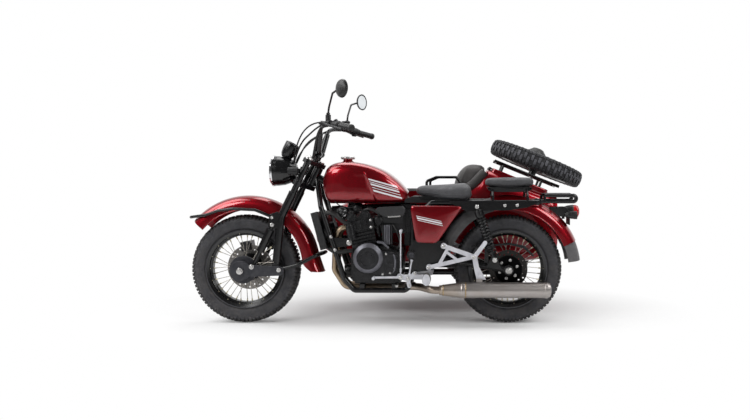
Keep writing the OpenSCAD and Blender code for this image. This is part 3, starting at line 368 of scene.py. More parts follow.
def tyre_rubber(name, middle, axle, dusty, tone=1.0):
    """Rubber with moulded rings on the sidewall, road dust low on the wheel, and painted shade between the blocks
    and next to the rim.
    """
    material, tree, shader = finish_for(name, Specular_IOR_Level=0.35)
    wheel = use(tree, round_about, Middle=middle, Axle=axle)
    ring = sums(tree, "SINE", times(tree, wheel["Radius"], 1500.0))
    band = times(tree, spread(tree, wheel["Radius"], 0.252, 0.256),
                 spread(tree, wheel["Radius"], 0.294, 0.298, 1.0, 0.0))
    ribs = times(tree, ring, band)
    dust = use(tree, road_dust, Height=0.9, Most=dusty)["Mask"]
    # Painted shade: the carcass between the blocks and the sidewall next to the rim are darkened as if in shade.
    groove_shade = times(tree, spread(tree, wheel["Radius"], 0.327, 0.331, 1.0, 0.0),
                   spread(tree, wheel["Radius"], 0.306, 0.316))
    bead = spread(tree, wheel["Radius"], 0.2475, 0.254, 1.0, 0.0)
    body = tint(tree, patches(tree, 22.0),
                toned((0.036, 0.036, 0.041), tone), toned((0.058, 0.058, 0.065), tone))
    body = tint(tree, times(tree, sums(tree, "MAXIMUM", groove_shade, bead), 0.75), body, (0.007, 0.007, 0.0072))
    grain = patches(tree, 700.0)
    feed(tree, shader, Base_Color=tint(tree, dust, body, (0.115, 0.105, 0.096)),
         Roughness=patches(tree, 120.0, 0.55, 0.78),
         Normal=bumped(tree, plus(tree, ribs, times(tree, grain, 0.35)), 0.0006))
    return material


def rim_paint(name, middle, axle):
    """Gloss black rim, a little brighter along its lip."""
    material, tree, shader = finish_for(name, Specular_IOR_Level=0.6)
    wheel = use(tree, round_about, Middle=middle, Axle=axle)
    lip = spread(tree, wheel["Radius"], 0.2345, 0.2365)
    scratch = patches(tree, 380.0, 0.16, 0.30)
    feed(tree, shader, Metallic=times(tree, lip, 0.6), Roughness=scratch,
         Base_Color=tint(tree, lip, tint(tree, scratch, (0.003, 0.003, 0.0032), (0.010, 0.010, 0.011)),
                         (0.045, 0.045, 0.05)))
    return material


def spoke_metal(name, middle, axle):
    """Bright spokes on a dark hub."""
    material, tree, shader = finish_for(name)
    wheel = use(tree, round_about, Middle=middle, Axle=axle)
    bright = spread(tree, wheel["Radius"], 0.0555, 0.0575)
    grain = patches(tree, 420.0)
    hub_tone = (0.012, 0.012, 0.0135)
    feed(tree, shader, Metallic=spread(tree, bright, 0.0, 1.0, 0.55, 1.0),
         Roughness=plus(tree, spread(tree, bright, 0.0, 1.0, 0.40, 0.22), times(tree, grain, 0.1)),
         Base_Color=tint(tree, bright, tint(tree, grain, hub_tone, toned(hub_tone, 1.5)),
                         tint(tree, grain, (0.34, 0.31, 0.27), (0.50, 0.47, 0.43))))
    return material


def disc_steel(name, middle, axle, tone=1.0):
    """Brake disc turned on a lathe, with a darker carrier."""
    material, tree, shader = finish_for(name, Metallic=1.0)
    wheel = use(tree, round_about, Middle=middle, Axle=axle)
    lathe = put(tree, "ShaderNodeTexNoise", {"W": times(tree, wheel["Radius"], 2600.0), "Scale": 1.0,
                                             "Detail": 2.0}, noise_dimensions="1D").outputs["Fac"]
    swept = spread(tree, wheel["Radius"], 0.082, 0.088)
    grey = tint(tree, lathe, toned((0.15, 0.14, 0.13), tone), toned((0.28, 0.27, 0.26), tone))
    feed(tree, shader, Base_Color=tint(tree, swept, toned((0.06, 0.06, 0.063), 0.5 * tone), grey),
         Roughness=spread(tree, lathe, 0.3, 0.7, 0.22, 0.42))
    return material


def pipe_steel(name, cool, warm, hot_x, cold_x, stretch):
    """Stainless pipe, browned towards its hot end."""
    material, tree, shader = finish_for(name, Metallic=1.0)
    spot = place(tree)
    lengthwise = parts_of(tree, spot)["X"]
    cloud = patches(tree, 14.0, -0.18, 0.18)
    heat = plus(tree, spread(tree, lengthwise, hot_x, cold_x, 1.0, 0.0), cloud)
    lines = use(tree, drawn_lines, Stretch=stretch, Low=0.0, High=1.0)["Value"]
    steel = tint(tree, lines, toned(cool, 0.86), cool)
    dust = use(tree, road_dust, Height=0.5, Most=0.25)["Mask"]
    feed(tree, shader, Base_Color=tint(tree, dust, tint(tree, heat, steel, warm), (0.20, 0.17, 0.14)),
         Roughness=plus(tree, spread(tree, lines, 0.0, 1.0, 0.32, 0.46), times(tree, dust, 0.3)),
         Normal=bumped(tree, lines, 0.00004))
    return material


def bright_plate(name):
    material, tree, shader = finish_for(name, Metallic=1.0)
    feed(tree, shader, Roughness=patches(tree, 200.0, 0.05, 0.14), Base_Color=tint(tree, patches(tree, 30.0),
                                                                                   (0.66, 0.66, 0.68),
                                                                                   (0.80, 0.80, 0.82)))
    return material


def leatherette(name, dark, light, scale):
    material, tree, shader = finish_for(name, Specular_IOR_Level=0.5, Sheen_Weight=0.06, Sheen_Roughness=0.4)
    grain = use(tree, hide_grain, Scale=scale)
    # Painted shade: the grain's creases take the darker of the two colours.
    feed(tree, shader, Base_Color=tint(tree, grain["Crease Shade"], dark, light),
         Roughness=spread(tree, grain["Crease Shade"], 0.0, 0.8, 0.56, 0.34),
         Normal=bumped(tree, grain["Height"], 0.00035))
    return material


def hose_rubber(name):
    material, tree, shader = finish_for(name, Specular_IOR_Level=0.35)
    feed(tree, shader, Base_Color=tint(tree, patches(tree, 40.0),
                                       (0.009, 0.009, 0.0095), (0.022, 0.0215, 0.021)),
         Roughness=patches(tree, 300.0, 0.30, 0.44), Normal=bumped(tree, patches(tree, 800.0), 0.0001))
    return material


def lens_glass(name, colour, transmission, flutes):
    """Moulded lens with upright flutes."""
    material, tree, shader = finish_for(name, Transmission_Weight=transmission, IOR=1.47)
    parts = parts_of(tree)
    wave = sums(tree, "SINE", times(tree, parts["Y"], flutes))
    grain = patches(tree, 60.0)
    feed(tree, shader, Base_Color=tint(tree, grain, toned(colour, 0.92), colour),
         Roughness=patches(tree, 90.0, 0.02, 0.08), Normal=bumped(tree, wave, 0.0006))
    return material


def dial_marks(name, middle, slope):
    """A black dial with a ring of pale marks and no figures."""
    material, tree, shader = finish_for(name, Specular_IOR_Level=0.4)
    turned = put(tree, "ShaderNodeMapping", {"Vector": vector_sums(tree, "SUBTRACT", place(tree),
                                                                   middle).outputs["Vector"],
                                             "Rotation": (0.0, -math.radians(slope), 0.0)}).outputs["Vector"]
    parts = parts_of(tree, turned)
    angle = sums(tree, "ARCTAN2", parts["Y"], parts["X"])
    radius = sums(tree, "SQRT", plus(tree, times(tree, parts["X"], parts["X"]),
                                     times(tree, parts["Y"], parts["Y"])))
    ticks = spread(tree, sums(tree, "COSINE", times(tree, angle, 24.0)), 0.72, 0.80)
    ring = times(tree, spread(tree, radius, 0.0195, 0.0200), spread(tree, radius, 0.0245, 0.0250, 1.0, 0.0))
    feed(tree, shader, Base_Color=tint(tree, times(tree, ticks, ring), (0.006, 0.006, 0.007),
                                       (0.7, 0.7, 0.68)),
         Roughness=patches(tree, 300.0, 0.12, 0.22))
    return material


def looking_glass(name):
    material, tree, shader = finish_for(name, Metallic=1.0)
    smear = patches(tree, 24.0)
    feed(tree, shader, Base_Color=tint(tree, smear, (0.74, 0.77, 0.79), (0.82, 0.85, 0.87)),
         Roughness=spread(tree, smear, 0.0, 1.0, 0.02, 0.07))
    return material


def cooler_fins(name):
    """Radiator core: thin fins between flat upright tubes, with painted shade in the gaps between them."""
    material, tree, shader = finish_for(name, Metallic=0.4)
    parts = parts_of(tree)
    fins = sums(tree, "SINE", times(tree, parts["Z"], 2600.0))
    tubes = spread(tree, sums(tree, "SINE", times(tree, parts["Y"], 620.0)), 0.55, 0.75)
    both = sums(tree, "MAXIMUM", times(tree, fins, 0.6), tubes)
    grain = patches(tree, 80.0, 0.36, 0.52)
    # Painted shade: the colour follows the relief, darker in the gaps between fins and tubes.
    feed(tree, shader, Base_Color=tint(tree, spread(tree, both, -0.6, 1.0), (0.002, 0.002, 0.0021),
                                       (0.012, 0.012, 0.0135)),
         Roughness=grain, Normal=bumped(tree, both, 0.0008))
    return material


across = (0.0, 1.0, 0.0)
lid_up = (math.sin(lid_slope), 0.0, math.cos(lid_slope))
lid_along = Vector((math.cos(lid_slope), 0.0, -math.sin(lid_slope)))
spare_middle = lid_hinge + lid_along * 0.291 + Vector(lid_up) * 0.153

frame_black = black_paint("frame_black", 0.18, 0.28, 0.15)
fork_black = black_paint("fork_black", 0.18, 0.26, 0.1)
lamp_black = gloss_black("lamp_black")
body_red = red_paint("body_red")
tank_stripes = {
    "slope": 0.285, "lean": 0.42,
    "bands": [(0.8445, 0.8525), (0.8335, 0.8365), (0.8180, 0.8270), (0.8040, 0.8070), (0.7840, 0.7935)],
    "ends": (0.236, 0.386)}
tank_red = red_paint("tank_red", stripes=tank_stripes)
cover_red = red_paint("cover_red", stripes={
    "slope": 0.22, "lean": 0.35,
    "bands": [(0.6990, 0.7020), (0.6850, 0.6930), (0.6755, 0.6785)],
    "ends": (0.385, 0.525)})
# Cast metals: darkest and lightest tone, metallic share, roughness from and to, grain, most dust
engine_black = cast_metal("engine_black", (0.0040, 0.0040, 0.0046), (0.0105, 0.0105, 0.0118), 0.2, 0.22,
                          0.34, 0.0002, 0.12)
cover_black = cast_metal("cover_black", (0.010, 0.010, 0.0115), (0.022, 0.022, 0.025), 0.3, 0.18, 0.28,
                         0.00012, 0.08)
link_grey = cast_metal("link_grey", (0.030, 0.031, 0.037), (0.052, 0.053, 0.062), 0.5, 0.30, 0.44)
case_grey = cast_metal("case_grey", (0.10, 0.10, 0.115), (0.17, 0.17, 0.19), 0.7, 0.34, 0.46, 0.00012, 0.08)
guard_dark = cast_metal("guard_dark", (0.022, 0.022, 0.023), (0.036, 0.036, 0.038), 0.0, 0.30, 0.44, 0.0002,
                        0.1)
guard_grey = cast_metal("guard_grey", (0.08, 0.08, 0.085), (0.13, 0.13, 0.135), 0.3, 0.36, 0.5)
peg_silver = cast_metal("peg_silver", (0.56, 0.56, 0.60), (0.74, 0.74, 0.79), 0.35, 0.28, 0.42, 0.00018,
                        0.15)
bolt_silver = cast_metal("bolt_silver", (0.48, 0.47, 0.46), (0.66, 0.65, 0.64), 0.9, 0.20, 0.34, 0.0001, 0.1)
switch_plastic = moulded_plastic("switch_plastic")
flap_grey = cast_metal("flap_grey", (0.075, 0.073, 0.075), (0.11, 0.107, 0.11), 0.0, 0.42, 0.58, 0.0002, 0.2)
hose_black = hose_rubber("hose_black")
header_steel = pipe_steel("header_steel", (0.44, 0.37, 0.31), (0.40, 0.30, 0.20), -0.36, 0.10,
                          (900, 900, 30))
muffler_steel = pipe_steel("muffler_steel", (0.43, 0.40, 0.385), (0.36, 0.30, 0.24), 0.28, 0.47,
                           (10, 700, 700))
chrome = bright_plate("chrome")
saddle_hide = leatherette("saddle_hide", (0.027, 0.027, 0.030), (0.076, 0.076, 0.084), 420.0)
sidecar_hide = leatherette("sidecar_hide", (0.015, 0.0125, 0.012), (0.044, 0.038, 0.036), 380.0)
lining = leatherette("lining", (0.006, 0.006, 0.0062), (0.015, 0.015, 0.0155), 300.0)
headlight_glass = lens_glass("headlight_glass", (0.93, 0.95, 0.97), 0.95, 420.0)
tail_glass = lens_glass("tail_glass", (0.62, 0.012, 0.014), 0.45, 700.0)
mirror_silver = looking_glass("mirror_silver")
nipple_brass = cast_metal("nipple_brass", (0.46, 0.40, 0.27), (0.62, 0.56, 0.40), 0.8, 0.24, 0.36, 0.0001,
                          0.1)
weld_gold = cast_metal("weld_gold", (0.36, 0.24, 0.10), (0.48, 0.34, 0.17), 0.9, 0.28, 0.40, 0.0003, 0.1)
rubber_grey = cast_metal("rubber_grey", (0.05, 0.048, 0.046), (0.085, 0.082, 0.078), 0.0, 0.55, 0.75,
                         0.0003, 0.4)
dial_middle = at(-656, 0, 1068)
dial_slope = 30
dial_print = dial_marks("dial_print", dial_middle, dial_slope)
cooler_core = cooler_fins("cooler_core")

slot_finish = {
    "red_paint": body_red, "black_paint": frame_black, "dark_grey": engine_black,
    "black_plastic": switch_plastic,
    "rubber": hose_black, "steel": muffler_steel, "bright": chrome, "cast_silver": peg_silver,
    "seat_black": saddle_hide, "seat_brown": sidecar_hide, "clear": headlight_glass, "red_lens": tail_glass,
    "mirror": mirror_silver, "tyre_rubber": hose_black}
node_finish = {
    "fork": fork_black, "front_links": link_grey, "front_shocks": fork_black, "headlight_shell": lamp_black,
    "exhaust": header_steel, "radiator": cooler_core, "side_covers": cover_red, "tank": tank_red,
    "airbox": switch_plastic, "rear_shocks": fork_black, "engine_covers": cover_black, "mirrors": lamp_black,
    "instrument": lamp_black, "mudflap": flap_grey}
for part in frame["record"]["subparts"]:
    finish = node_finish.get(part["node"], slot_finish[part["material_slot"]])
    nodes[part["node"]].data.materials.clear()
    nodes[part["node"]].data.materials.append(finish)

# Wheels: middle, axle, most dust on the tyre, tone of its rubber
wheels = {"front": (front_axle, across, 0.5, 1.0), "rear": (rear_axle, across, 0.55, 1.0),
          "side": (side_axle, across, 0.5, 1.0), "spare": (spare_middle, lid_up, 0.2, 1.5)}
disc_tones = {"front": 1.0, "rear": 0.16}
for wheel, (middle, axle, dusty, tone) in wheels.items():
    wheel_finish = {"tyre": tyre_rubber(wheel + "_rubber", middle, axle, dusty, tone),
                    "rim": rim_paint(wheel + "_rim_black", middle, axle),
                    "hub": spoke_metal(wheel + "_spoke_metal", middle, axle)}
    if wheel in disc_tones:
        wheel_finish["disc"] = disc_steel(wheel + "_disc_steel", middle, axle, disc_tones[wheel])
    for piece, finish in wheel_finish.items():
        nodes[wheel + "_" + piece].data.materials[0] = finish


# Mesh helpers

def solid(name, points, faces, finish, body, smooth=40):
    """A new piece from points in the frame, with creases only at sharp angles."""
    mesh = bpy.data.meshes.new(name)
    mesh.from_pydata([tuple(p) for p in points], [], faces)
    mesh.validate()
    shape = bmesh.new()
    shape.from_mesh(mesh)
    bmesh.ops.recalc_face_normals(shape, faces=shape.faces)
    shape.to_mesh(mesh)
    shape.free()
    mesh.shade_smooth()
    mesh.set_sharp_from_angle(angle=math.radians(smooth))
    mesh.materials.append(finish)
    piece = bpy.data.objects.new(name, mesh)
    bpy.context.scene.collection.objects.link(piece)
    if body:
        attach(piece, body)
    return piece


def ring_faces(rows, count, closed_rows=False, caps=True):
    """Quads between rings of points, and a face over each end."""
    faces = []
    for i in range(rows if closed_rows else rows - 1):
        for j in range(count):
            a, b = i * count, ((i + 1) % rows) * count
            faces.append((a + j, a + (j + 1) % count, b + (j + 1) % count, b + j))
    if caps and not closed_rows:
        faces.append(tuple(reversed(range(count))))
        faces.append(tuple((rows - 1) * count + j for j in range(count)))
    return faces


class Heap:
    """Small forms gathered into one piece. Lengths are in millimetres, places in the frame."""

    def __init__(self):
        self.points, self.faces = [], []

    def add(self, points, faces):
        first = len(self.points)
        self.points += points
        self.faces += [tuple(first + i for i in face) for face in faces]

    def turned(self, middle, axis, profile, count=24, loop=False):
        """A profile of (along, radius) turned about an axis; a loop leaves its middle open."""
        axis = Vector(axis).normalized()
        side = axis.orthogonal().normalized()
        up = axis.cross(side)
        turns = [2 * math.pi * j / count for j in range(count)]
        self.add([middle + (axis * along + (side * math.cos(a) + up * math.sin(a)) * radius) * MM
                  for along, radius in profile for a in turns], ring_faces(len(profile), count, loop))

    def bolt(self, spot, axis, size):
        """A hexagon head on its washer."""
        self.turned(spot, axis, [(0, 1.35 * size), (0.18 * size, 1.35 * size), (0.25 * size, 1.2 * size)],
                    20)
        self.turned(spot, axis, [(0.2 * size, size), (0.75 * size, size), (0.92 * size, 0.8 * size)], 6)

    def slab(self, outline, y0, y1, ease=1.5):
        """A plate in the side view between two distances across, with eased edges."""
        middle_x = sum(x for x, _ in outline) / len(outline)
        middle_z = sum(z for _, z in outline) / len(outline)
        points = []
        for y, inset in ((y0, ease), (y0 + math.copysign(ease, y1 - y0), 0),
                         (y1 - math.copysign(ease, y1 - y0), 0),
                         (y1, ease)):
            for x, z in outline:
                away = math.hypot(x - middle_x, z - middle_z)
                points.append(at(x + (middle_x - x) * inset / away, y, z + (middle_z - z) * inset / away))
        self.add(points, ring_faces(4, len(outline)))

    def made(self, name, finish, body, smooth=40):
        return solid(name, self.points, self.faces, finish, body, smooth)


def rounded(corners, radius, steps=6):
    """An outline with its corners rounded off."""
    line = []
    for i, corner in enumerate(corners):
        here = Vector(corner)
        back, ahead = Vector(corners[i - 1]) - here, Vector(corners[(i + 1) % len(corners)]) - here
        reach = min(radius, 0.45 * back.length, 0.45 * ahead.length)
        a, b = here + back.normalized() * reach, here + ahead.normalized() * reach
        for k in range(steps + 1):
            t = k / steps
            line.append(tuple(a * (1 - t) ** 2 + here * 2 * t * (1 - t) + b * t * t))
    return line


def turned_piece(name, finish, body, slot, *turnings, smooth=40):
    """A piece of turned forms, each with its middle, axis, profile and, where given, sides and loop."""
    heap = Heap()
    for turning in turnings:
        heap.turned(*turning)
    return heap.made(name, finish, body, smooth)


def plate_piece(name, finish, slot, *plates):
    """A piece of plates, each with its corners, their rounding, near side, far side and easing."""
    heap = Heap()
    for corners, rounding, *sides in plates:
        heap.slab(rounded(corners, rounding), *sides)
    return heap.made(name, finish, "root")


def eased(rows, steps):
    """Rows of numbers with smooth rows put between them."""
    result = []
    for i in range(len(rows) - 1):
        p0, p1, p2, p3 = rows[max(i - 1, 0)], rows[i], rows[i + 1], rows[min(i + 2, len(rows) - 1)]
        for k in range(steps):
            t = k / steps
            row = []
            for a, b, c, d in zip(p0, p1, p2, p3):
                low, high = min(b, c), max(b, c)
                value = 0.5 * (2 * b + (c - a) * t + (2 * a - 5 * b + 4 * c - d) * t * t
                               + (3 * b - a - 3 * c + d) * t ** 3)
                row.append(min(max(value, low - 0.12 * (high - low)), high + 0.12 * (high - low)))
            result.append(row)
    return result + [list(rows[-1])]


def bow(value, share):
    """A power of a value that keeps its sign."""
    return math.copysign(abs(value) ** share, value)


def settle(piece):
    """Bake a piece's modifiers into its mesh."""
    bpy.context.view_layer.update()
    done = bpy.data.meshes.new_from_object(piece.evaluated_get(bpy.context.evaluated_depsgraph_get()))
    piece.modifiers.clear()
    piece.data = done
    return piece


def tube(name, points, radius, finish, body, closed=False, sides=10):
    """A round tube along a line of points."""
    points = [Vector(p) for p in points]
    count = len(points)
    places = []
    side = None
    for i, p in enumerate(points):
        ahead = points[(i + 1) % count] if closed or i < count - 1 else p
        behind = points[i - 1] if closed or i > 0 else p
        way = (ahead - behind).normalized()
        if side is None:
            side = way.orthogonal().normalized()
        side = (side - way * side.dot(way)).normalized()
        up = way.cross(side)
        for j in range(sides):
            a = 2 * math.pi * j / sides
            places.append(p + (side * math.cos(a) + up * math.sin(a)) * radius)
    return solid(name, places, ring_faces(count, sides, closed), finish, body)


def swell(pad, cap, still):
    """Stuff a pad: cloth pressure pushes its skin out, up to cap; points that still names stay."""
    even = pad.modifiers.new("even", "REMESH")
    even.mode = "VOXEL"
    even.voxel_size = 0.006
    settle(pad)
    pad.data.shade_smooth()
    start = [v.co.copy() for v in pad.data.vertices]
    held = pad.vertex_groups.new(name="held")
    held.add([v.index for v in pad.data.vertices if still(v.co)], 1.0, "REPLACE")
    cloth = pad.modifiers.new("stuffing", "CLOTH")
    cloth.settings.quality = 4
    cloth.settings.use_pressure = True
    cloth.settings.uniform_pressure_force = 4.0
    cloth.settings.effector_weights.gravity = 0.0
    cloth.settings.vertex_group_mass = "held"
    cloth.point_cache.frame_start = 1
    cloth.point_cache.frame_end = 20
    for step in range(1, 21):
        bpy.context.scene.frame_set(step)
    shown = pad.evaluated_get(bpy.context.evaluated_depsgraph_get())
    moved = [v.co - s for v, s in zip(shown.data.vertices, start)]
    pad.modifiers.clear()
    bpy.context.scene.frame_set(1)
    for vertex, s, d in zip(pad.data.vertices, start, moved):
        vertex.co = s + d * min(1.0, cap / max(d.length, 1e-9))
    pad.vertex_groups.clear()
    soft = pad.modifiers.new("soft", "SMOOTH")
    soft.factor = 0.5
    soft.iterations = 6
    settle(pad)
    pad.data.shade_smooth()
    return pad


def sewn(name, pad, points, radius, finish, sink=0.3):
    """Piping laid along a pad's skin."""
    laid = []
    for p in points:
        _, place_on, normal, _ = pad.closest_point_on_mesh(Vector(p))
        laid.append(place_on - normal * radius * sink)
    count = len(laid)
    for _ in range(3):
        laid = [(laid[i - 1] + laid[i] * 2 + laid[(i + 1) % count]) / 4 for i in range(count)]
    return tube(name, laid, radius, finish, "root", closed=True, sides=8)


# Seats

def seat_skin(name, rows, middle_y, share, finish, upright=False, count=48):
    """A pad's plain form through rounded rings; upright stands it on its end."""
    points = []
    for x, low, high, half in eased(rows, 6):
        for j in range(count):
            a = 2 * math.pi * (j + 0.5) / count
            y = middle_y + half * bow(math.cos(a), share)
            z = (low + high) / 2 + (high - low) / 2 * bow(math.sin(a), share)
            points.append(at(z, y, x) if upright else at(x, y, z))
    return solid(name, points, ring_faces(len(points) // count, count), finish, "root")


def belt(rows, middle_y, level):
    """A line of points round a pad at a share of its height."""
    eased_rows = eased(rows, 4)
    right = [(x, middle_y + half, low + (high - low) * level) for x, low, high, half in eased_rows]
    return right + [(x, 2 * middle_y - y, z) for x, y, z in reversed(right)]


def cushion(name, node, rows, middle_y, share, finish, cap, still, upright=False):
    """A stuffed pad in place of a plain seat of the CAD model."""
    pad = seat_skin(name, rows, middle_y, share, finish, upright)
    swell(pad, cap, still)
    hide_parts(node)
    return pad


# Rows of a pad: x, underside, top and half width; those of the backrest stand upright
saddle_rows = [(128, 800, 818, 56), (150, 784, 836, 82), (230, 768, 842, 110), (330, 752, 847, 140),
               (410, 749, 854, 148), (452, 764, 852, 138), (470, 796, 838, 110)]
saddle = cushion("saddle", "rider_seat", saddle_rows, 0, 0.62, saddle_hide, 0.008,
                 lambda co: co.z < at(0, 0, 764).z)
sewn("saddle_piping", saddle, [at(*p) for p in belt(saddle_rows, 0, 0.42)], 0.0028, saddle_hide)

pillion_rows = [(557, 850, 872, 82), (568, 841, 884, 99), (640, 837, 890, 107), (770, 837, 892, 107),
                (840, 841, 888, 99), (852, 852, 876, 82)]
pillion = cushion("pillion_pad", "pillion_seat", pillion_rows, 0, 0.5, saddle_hide, 0.006,
                  lambda co: co.z < at(0, 0, 839).z)
for level, label in ((0.80, "upper"), (0.18, "lower")):
    sewn("pillion_piping_" + label, pillion, [at(*p) for p in belt(pillion_rows, 0, level)], 0.0022,
         saddle_hide)

sidecar_seat_rows = [(66, 474, 500, 204), (80, 446, 516, 222), (160, 432, 528, 226), (330, 432, 514, 226),
                     (396, 442, 498, 214)]
sidecar_seat = cushion("sidecar_seat", "tub_seat", sidecar_seat_rows, tub_middle, 0.45, sidecar_hide,
                       0.012, lambda co: co.z < at(0, 0, 436).z)
plinth_line = rounded([(90, -125), (370, -125), (370, 125), (90, 125)], 20)
plinth = Heap()
plinth.add([at(x, tub_middle + y, z) for z in (337, 438) for x, y in plinth_line],
           ring_faces(2, len(plinth_line)))
plinth.made("sidecar_seat_plinth", switch_plastic, "root")
sewn("sidecar_seat_piping", sidecar_seat, [at(*p) for p in belt(sidecar_seat_rows, tub_middle, 0.78)], 0.004,
     sidecar_hide)

sidecar_back_rows = [(504, 436, 498, 188), (514, 408, 516, 208), (574, 378, 526, 214), (700, 366, 546, 218),
                     (840, 367, 566, 218), (910, 386, 566, 214), (956, 416, 566, 200), (983, 456, 556, 166)]
sidecar_back = cushion("sidecar_backrest", "tub_back", sidecar_back_rows, tub_middle, 0.5, sidecar_hide,
                       0.010, lambda co: co.x > at(563, 0, 0).x, upright=True)
for level, label in ((0.16, "front"), (0.80, "rear")):
    line = [at(z, y, x) for x, y, z in belt(sidecar_back_rows, tub_middle, level)]
    sewn("sidecar_backrest_piping_" + label, sidecar_back, line, 0.0045, sidecar_hide)


# Mudguards

def mudguard(name, node, middle, start, stop, half, edge, crown, wall, body, kick=0.0):
    """A rolled guard about an axle: an arched section swept round, with a bead along its edges."""
    turns = 32
    section = []
    for inner in (0, 1):
        for k in range(turns + 1):
            t = (-math.pi / 2 + math.pi * k / turns) * (-1 if inner else 1)
            reach = edge + (crown - wall * inner - edge) * max(0.0, math.cos(t)) ** 0.55
            section.append((reach, (half - wall * inner) * math.sin(t)))

    def spot(reach, y, angle):
        return middle + Vector((reach * math.cos(angle), y, reach * math.sin(angle))) * MM

    rows = 96
    points = []
    beads = {"left": [], "right": []}
    for i in range(rows):
        share = i / (rows - 1)
        angle = math.radians(start + (stop - start) * share)
        flare = kick * max(0.0, 1 - share / 0.13) ** 2
        trim = 1.6 * kick * max(0.0, 1 - share / 0.07) ** 2
        for reach, y in section:
            high = max(0.0, (reach - edge) / (crown - edge))
            points.append(spot(reach + flare * high + trim * (1 - high), -y, angle))
        for side, label in hands:
            beads[label].append(spot(edge + 1.5 + trim, side * (half - wall / 2), angle))
    guard = solid(name, points, ring_faces(rows, len(section)), body_red, body, smooth=50)
    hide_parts(node)
    for label, bead in beads.items():
        tube(name + "_bead_" + label, bead, 0.0042, body_red, body, sides=10)


mudguard("front_mudguard", "front_guard", at(-909, 0, 348), start=-4, stop=139, half=80, edge=350, crown=438,
         wall=4, body="steering", kick=34)
wide_guard = {"half": 95, "edge": 368, "crown": 456, "wall": 5, "body": "root"}
mudguard("rear_mudguard", "rear_guard", rear_axle, start=23, stop=104, **wide_guard)
mudguard("sidecar_mudguard", "side_guard", side_axle, start=12, stop=162, **wide_guard)

rear_stays = [(at(x, side * 82, 746), (0, side, 0), [(0, 9), (31.5, 9)]) for side in (-1, 1) for x in (635,
                                                                                                       759)]
side_stays = [(at(x, 834, 709), (0, 1, 0), [(0, 9), (166, 9)]) for x in (427, 717)]
side_marker = (at(297, 1080, 680), (-1, 0, 0), [(0, 20), (18, 26), (48, 27), (56, 24), (60, 12)], 32)
turned_piece("mudguard_stays", frame_black, "root", "red_paint", *rear_stays, *side_stays, side_marker)
turned_piece("front_mudguard_stays", fork_black, "steering", "red_paint",
             *[(at(-685, side * 71, 651), (0, side, 0), [(0, 8), (14.7, 8)]) for side in (-1, 1)])


# Tank

def body_shell(name, rows, middle_y, width, steps, count, finish, share=None, trim=0.0):
    """A closed body through rounded rings: x, underside, top, half width share, squareness."""
    points = []
    for row in eased(rows, steps):
        x, low, high, part = row[:4]
        e = share if share else row[4]
        for j in range(count):
            a = 2 * math.pi * (j + 0.5) / count
            points.append(at(x, middle_y + (width * part - trim) * bow(math.cos(a), e),
                             (low + high) / 2 + ((high - low) / 2 - trim) * bow(math.sin(a), e)))
    return solid(name, points, ring_faces(len(points) // count, count), finish, None)


tank_half = 145
tank_rows = [(-441, 846, 872, 0.22, 0.8), (-438, 832, 886, 0.42, 0.7), (-430, 796, 922, 0.62, 0.62),
             (-404, 742, 966, 0.80, 0.55), (-350, 737, 990, 0.93, 0.5), (-260, 737, 994, 1, 0.5),
             (-150, 737, 974, 1, 0.5), (-60, 737, 938, 0.95, 0.52), (10, 738, 888, 0.84, 0.55),
             (58, 740, 840, 0.70, 0.6), (78, 756, 812, 0.54, 0.7), (82, 772, 798, 0.36, 0.8)]
tank = body_shell("fuel_tank", tank_rows, 0, tank_half, 36, 112, tank_red)

# The pressed crease before the stripes: a step outwards that fades to both sides, the top and the foot
crease_step, crease_width, crease_reach = 0.012, 0.016, 0.15
crease_foot, crease_top, crease_inner = 0.74, 0.94, 0.06
crease_middle = tank_stripes["ends"][0] - 0.011
for vertex in tank.data.vertices:
    spot = vertex.co - drawing_zero
    ahead = vertex.co.x + tank_stripes["lean"] * vertex.co.z - crease_middle
    if abs(spot.y) > crease_inner and crease_foot < spot.z < crease_top and abs(ahead) < crease_reach:
        fade = min(1.0, (crease_top - spot.z) / 0.04, (spot.z - crease_foot) / 0.02)
        rise = min(0.5, max(-0.5, ahead / crease_width))
        vertex.co.y += math.copysign(crease_step, spot.y) * rise * fade * (1 - abs(ahead) / crease_reach)
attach(tank, "root")
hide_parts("tank")


# Tyres and spoke nipples

